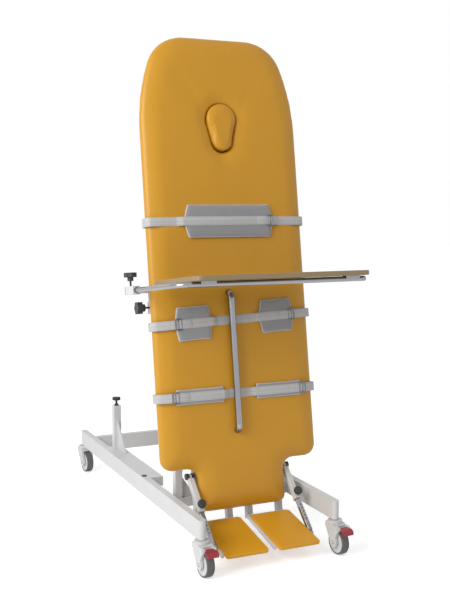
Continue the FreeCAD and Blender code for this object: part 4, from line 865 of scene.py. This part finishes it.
class TILT_OT_buckles(bpy.types.Operator):
    """Makes the wire slide frames that the belts pass through"""
    bl_idname = "tilt.buckles"
    bl_label = "Buckles"

    def execute(self, context):
        belts = context.scene.tilt_belts
        steel = shared_material("nickel_plated_wire", metal_material, linear("#7E7F82"), 0.3, 2, 0.1,
                                (1, 1, 1))
        bm = bmesh.new()
        for belt, x in BUCKLES:
            lift = PAD_REST * MM + belts.thickness / 2 + BUCKLE_LIFT * MM
            place = belt_place(belt) @ Matrix.Translation((x * MM, 0, lift))
            add_ring(bm, place, BUCKLE_LENGTH * MM, BUCKLE_WIDTH * MM, BUCKLE_CORNER * MM, BUCKLE_WIRE * MM)
            bar = place @ Matrix.Rotation(math.radians(90), 4, "X")
            bmesh.ops.create_cone(bm, cap_ends=True, segments=16, radius1=BAR_RADIUS * MM,
                                  radius2=BAR_RADIUS * MM, depth=BAR_LENGTH * MM, matrix=bar)
        piece = add_object("belt_buckles", mesh_from(bm, "belt_buckles"), steel, "bed")
        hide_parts("strap_buckles")
        return {"FINISHED"}


class TILT_OT_frame_finish(bpy.types.Operator):
    """Powder coats the base, the bed frame and the foot supports"""
    bl_idname = "tilt.frame_finish"
    bl_label = "Painted frame"

    def execute(self, context):
        colours = context.scene.tilt_colours
        paint = shared_material("powder_coated_steel", paint_material, colours.paint)
        dress(paint, "side_rail_left", "side_rail_right", "rear_crossbar", "middle_crossbar",
              "rest_frame_left", "rest_frame_right", "pivot_post_left", "pivot_post_right", "bed_frame",
              "foot_carriers", "foot_bracket_left", "foot_bracket_right", "strut_tube_left",
              "strut_tube_right", "tray_bracket")
        rubber = shared_material("moulded_rubber", moulded_material, linear("#2E2E2E"), 0.75, 1.2, 0.5)
        dress(rubber, "rest_buffers")
        knob = shared_material("black_polyamide", moulded_material, colours.knob, 0.5, 0.9, 0.35)
        dress(knob, "rail_plugs", "strut_pivots", "strut_knob_left", "strut_knob_right", "sleeve_cap",
              "tray_lock_knob", "tray_clamp_knob")
        plate = shared_material("coated_plate", vinyl_material, colours.plate, 1.8, 0.2, 0.46)
        dress(plate, "foot_plate_left", "foot_plate_right")
        ply = shared_material("birch_plywood", wood_material, colours.plywood, BED_TILT, (1, 0.08, 1),
                              14, 0.6, 0.0)
        dress(ply, "deck_board")
        return {"FINISHED"}


class TILT_OT_metal_finish(bpy.types.Operator):
    """Plates or polishes the bare metal pieces"""
    bl_idname = "tilt.metal_finish"
    bl_label = "Bare metal"

    def execute(self, context):
        chrome = shared_material("chromed_tube", metal_material, linear("#9C9CA0"), 0.16, 3, 0.06, (1, 1, 1))
        dress(chrome, "leg_separator", "strut_bar_left", "strut_bar_right", "actuator_rod", "tray_arm")
        rail = shared_material("brushed_stainless_rail", metal_material, linear("#C2C2C0"), 0.34, 1.2, 0.3,
                               (1, 0.06, 0.06))
        dress(rail, "accessory_rails")
        dress(zinc_plate(), "caster_stems")
        motor = shared_material("black_enamel", paint_material, linear("#3A3B3D"), 0.4)
        dress(motor, "actuator_body")
        return {"FINISHED"}


class TILT_OT_tray_finish(bpy.types.Operator):
    """Gives the tray board its laminate"""
    bl_idname = "tilt.tray_finish"
    bl_label = "Tray board"

    def execute(self, context):
        colours = context.scene.tilt_colours
        board = shared_material("beech_laminate", wood_material, colours.board, BED_TILT + TRAY_ANGLE,
                                (0.07, 1, 1), 16, 0.38, 0.2)
        dress(board, "tray_board")
        return {"FINISHED"}


class TILT_OT_caster_finish(bpy.types.Operator):
    """Finishes the casters and adds the screws of their axles"""
    bl_idname = "tilt.caster_finish"
    bl_label = "Casters"

    def execute(self, context):
        colours = context.scene.tilt_colours
        tread = shared_material("grey_tread_rubber", moulded_material, colours.tread, 0.7, 1.5, 0.4)
        hub = shared_material("moulded_caster_shell", moulded_material, colours.hub, 0.45, 1.1, 0.25)
        pedal = shared_material("red_polyamide", moulded_material, colours.pedal, 0.42, 1.0, 0.3)
        steel = zinc_plate()
        for corner in CORNERS:
            dress(tread, "caster_tyre_" + corner)
            dress(hub, "caster_hub_" + corner, "caster_fork_" + corner)
            self.add_pin_heads("axle_screws_" + corner, "wheel_spin_" + corner, AXLE_HEAD_RADIUS,
                               steel, corner)
        for side in ("left", "right"):
            self.add_pin_heads("pedal_pin_heads_" + side, "brake_press_" + side, PEDAL_HEAD_RADIUS,
                               steel, "front_" + side)
        dress(pedal, "brake_pedal_left", "brake_pedal_right")
        return {"FINISHED"}

    def add_pin_heads(self, name, joint_name, radius, material, corner):
        """A domed head with a socket on each end of the pin of a caster's joint."""
        joint = next(j for j in frame["joints"] if j["name"] == joint_name)
        centre, axis = Vector(joint["pos_m"]), Vector(joint["axis"])
        bm = bmesh.new()
        for side in (-1, 1):
            place = Matrix.Translation(centre + axis * side * FORK_HALF_WIDTH)
            place = place @ (axis * side).to_track_quat("Z", "Y").to_matrix().to_4x4()
            head = bmesh.ops.create_circle(bm, cap_ends=True, segments=24, radius=radius, matrix=place)
            face = next(f for f in head["verts"][0].link_faces)
            rise = bmesh.ops.extrude_face_region(bm, geom=[face])["geom"]
            top = [v for v in rise if isinstance(v, bmesh.types.BMVert)]
            bmesh.ops.translate(bm, verts=top, vec=axis * side * radius * HEAD_RISE_SHARE)
            cap = [f for f in rise if isinstance(f, bmesh.types.BMFace)]
            for inset, depth in SOCKET_SHARES:
                bmesh.ops.inset_region(bm, faces=cap, thickness=radius * inset, use_even_offset=True)
                ring = list({v for f in cap for v in f.verts})
                bmesh.ops.translate(bm, verts=ring, vec=axis * side * radius * depth)
        bmesh.ops.recalc_face_normals(bm, faces=bm.faces)
        add_object(name, mesh_from(bm, name), material, "caster_fork_" + corner)


def seen_directly(tree):
    """1 for rays from the camera, off shiny surfaces or through clear ones, 0 for the rest."""
    path = add_node(tree, "ShaderNodeLightPath")
    seen = combined(tree, path.outputs["Is Camera Ray"], path.outputs["Is Glossy Ray"], "MAXIMUM")
    return combined(tree, seen, path.outputs["Is Transmission Ray"], "MAXIMUM")


class TILT_OT_stage(bpy.types.Operator):
    """Makes the camera, the floor and the soft studio light"""
    bl_idname = "tilt.stage"
    bl_label = "Stage"

    def execute(self, context):
        scene = context.scene
        stage, colours = scene.tilt_stage, scene.tilt_colours
        camera = bpy.data.cameras.new("photo_camera")
        camera.lens = stage.lens
        camera.clip_end = FAR_CLIP
        eye = bpy.data.objects.new("photo_camera", camera)
        eye.location = stage.camera_place
        eye.rotation_euler = (stage.camera_pitch, 0, stage.camera_yaw)
        scene.collection.objects.link(eye)
        scene.camera = eye

        lamp = bpy.data.lights.new("key_lamp", "AREA")
        lamp.shape = "RECTANGLE"
        lamp.size, lamp.size_y = LAMP_SIZE, LAMP_SIZE
        lamp.energy = stage.key_power
        key = bpy.data.objects.new("key_lamp", lamp)
        key.location = LAMP_PLACE
        aim = LAMP_AIM - LAMP_PLACE
        key.rotation_euler = aim.to_track_quat("-Z", "Y").to_euler()
        scene.collection.objects.link(key)

        bm = bmesh.new()
        bmesh.ops.create_grid(bm, x_segments=1, y_segments=1, size=FLOOR_HALF_SIZE)
        floor_mesh = mesh_from(bm, "studio_floor")
        material, tree, shader, place = new_material("painted_studio_floor")
        cloud = noise_pattern(tree, place, 900, 2.0)
        tone = between(tree, cloud, shaded(colours.floor, 0.985), shaded(colours.floor, 1.0))
        # The floor glows for the eye alone, so that it is white and keeps the table's shadow.
        glow = ranged(tree, seen_directly(tree), 0.0, stage.floor_glow)
        connect(tree, shader, Base_Color=tone, Roughness=0.9, Emission_Color=(1, 1, 1, 1),
                Emission_Strength=glow)
        floor_mesh.materials.append(material)
        floor = bpy.data.objects.new("studio_floor", floor_mesh)
        scene.collection.objects.link(floor)

        world = bpy.data.worlds.new("studio")
        world.use_nodes = True
        scene.world = world
        tree = world.node_tree
        tree.nodes.clear()
        strength = ranged(tree, seen_directly(tree), stage.sky, 1.0)
        sky = add_node(tree, "ShaderNodeBackground", {"Color": (1, 1, 1, 1), "Strength": strength})
        add_node(tree, "ShaderNodeOutputWorld", {"Surface": sky.outputs[0]})
        scene.view_settings.view_transform = "Standard"
        return {"FINISHED"}


class TILT_PT_panel(bpy.types.Panel):
    """The table's sizes, colours and pieces"""
    bl_idname = "TILT_PT_panel"
    bl_label = "Tilt table"
    bl_space_type = "VIEW_3D"
    bl_region_type = "UI"
    bl_category = "Tilt table"

    def draw(self, context):
        layout = self.layout
        for group in GROUPS:
            box = layout.box()
            values = getattr(context.scene, group)
            for name in values.bl_rna.properties.keys():
                if name not in ("rna_type", "name"):
                    box.prop(values, name)
        for operator in OPERATORS:
            layout.operator(operator.bl_idname)


GROUPS = {
    "tilt_colours": TiltTableColours,
    "tilt_padding": TiltTablePadding,
    "tilt_belts": TiltTableBelts,
    "tilt_stage": TiltTableStage,
}
OPERATORS = (
    TILT_OT_stage, TILT_OT_frame_finish, TILT_OT_metal_finish, TILT_OT_tray_finish, TILT_OT_caster_finish,
    TILT_OT_mattress, TILT_OT_face_plug, TILT_OT_belt_pads, TILT_OT_belts, TILT_OT_buckles,
)


def register():
    for group in (*GROUPS.values(), *OPERATORS, TILT_PT_panel):
        bpy.utils.register_class(group)
    for name, group in GROUPS.items():
        setattr(bpy.types.Scene, name, PointerProperty(type=group))


def unregister():
    for name in GROUPS:
        delattr(bpy.types.Scene, name)
    for group in reversed((*GROUPS.values(), *OPERATORS, TILT_PT_panel)):
        bpy.utils.unregister_class(group)


def main():
    register()
    for operator in OPERATORS:
        group, name = operator.bl_idname.split(".")
        if getattr(getattr(bpy.ops, group), name)() != {"FINISHED"}:
            raise RuntimeError(operator.bl_label + " was not finished")


if __name__ == "__main__":
    main()
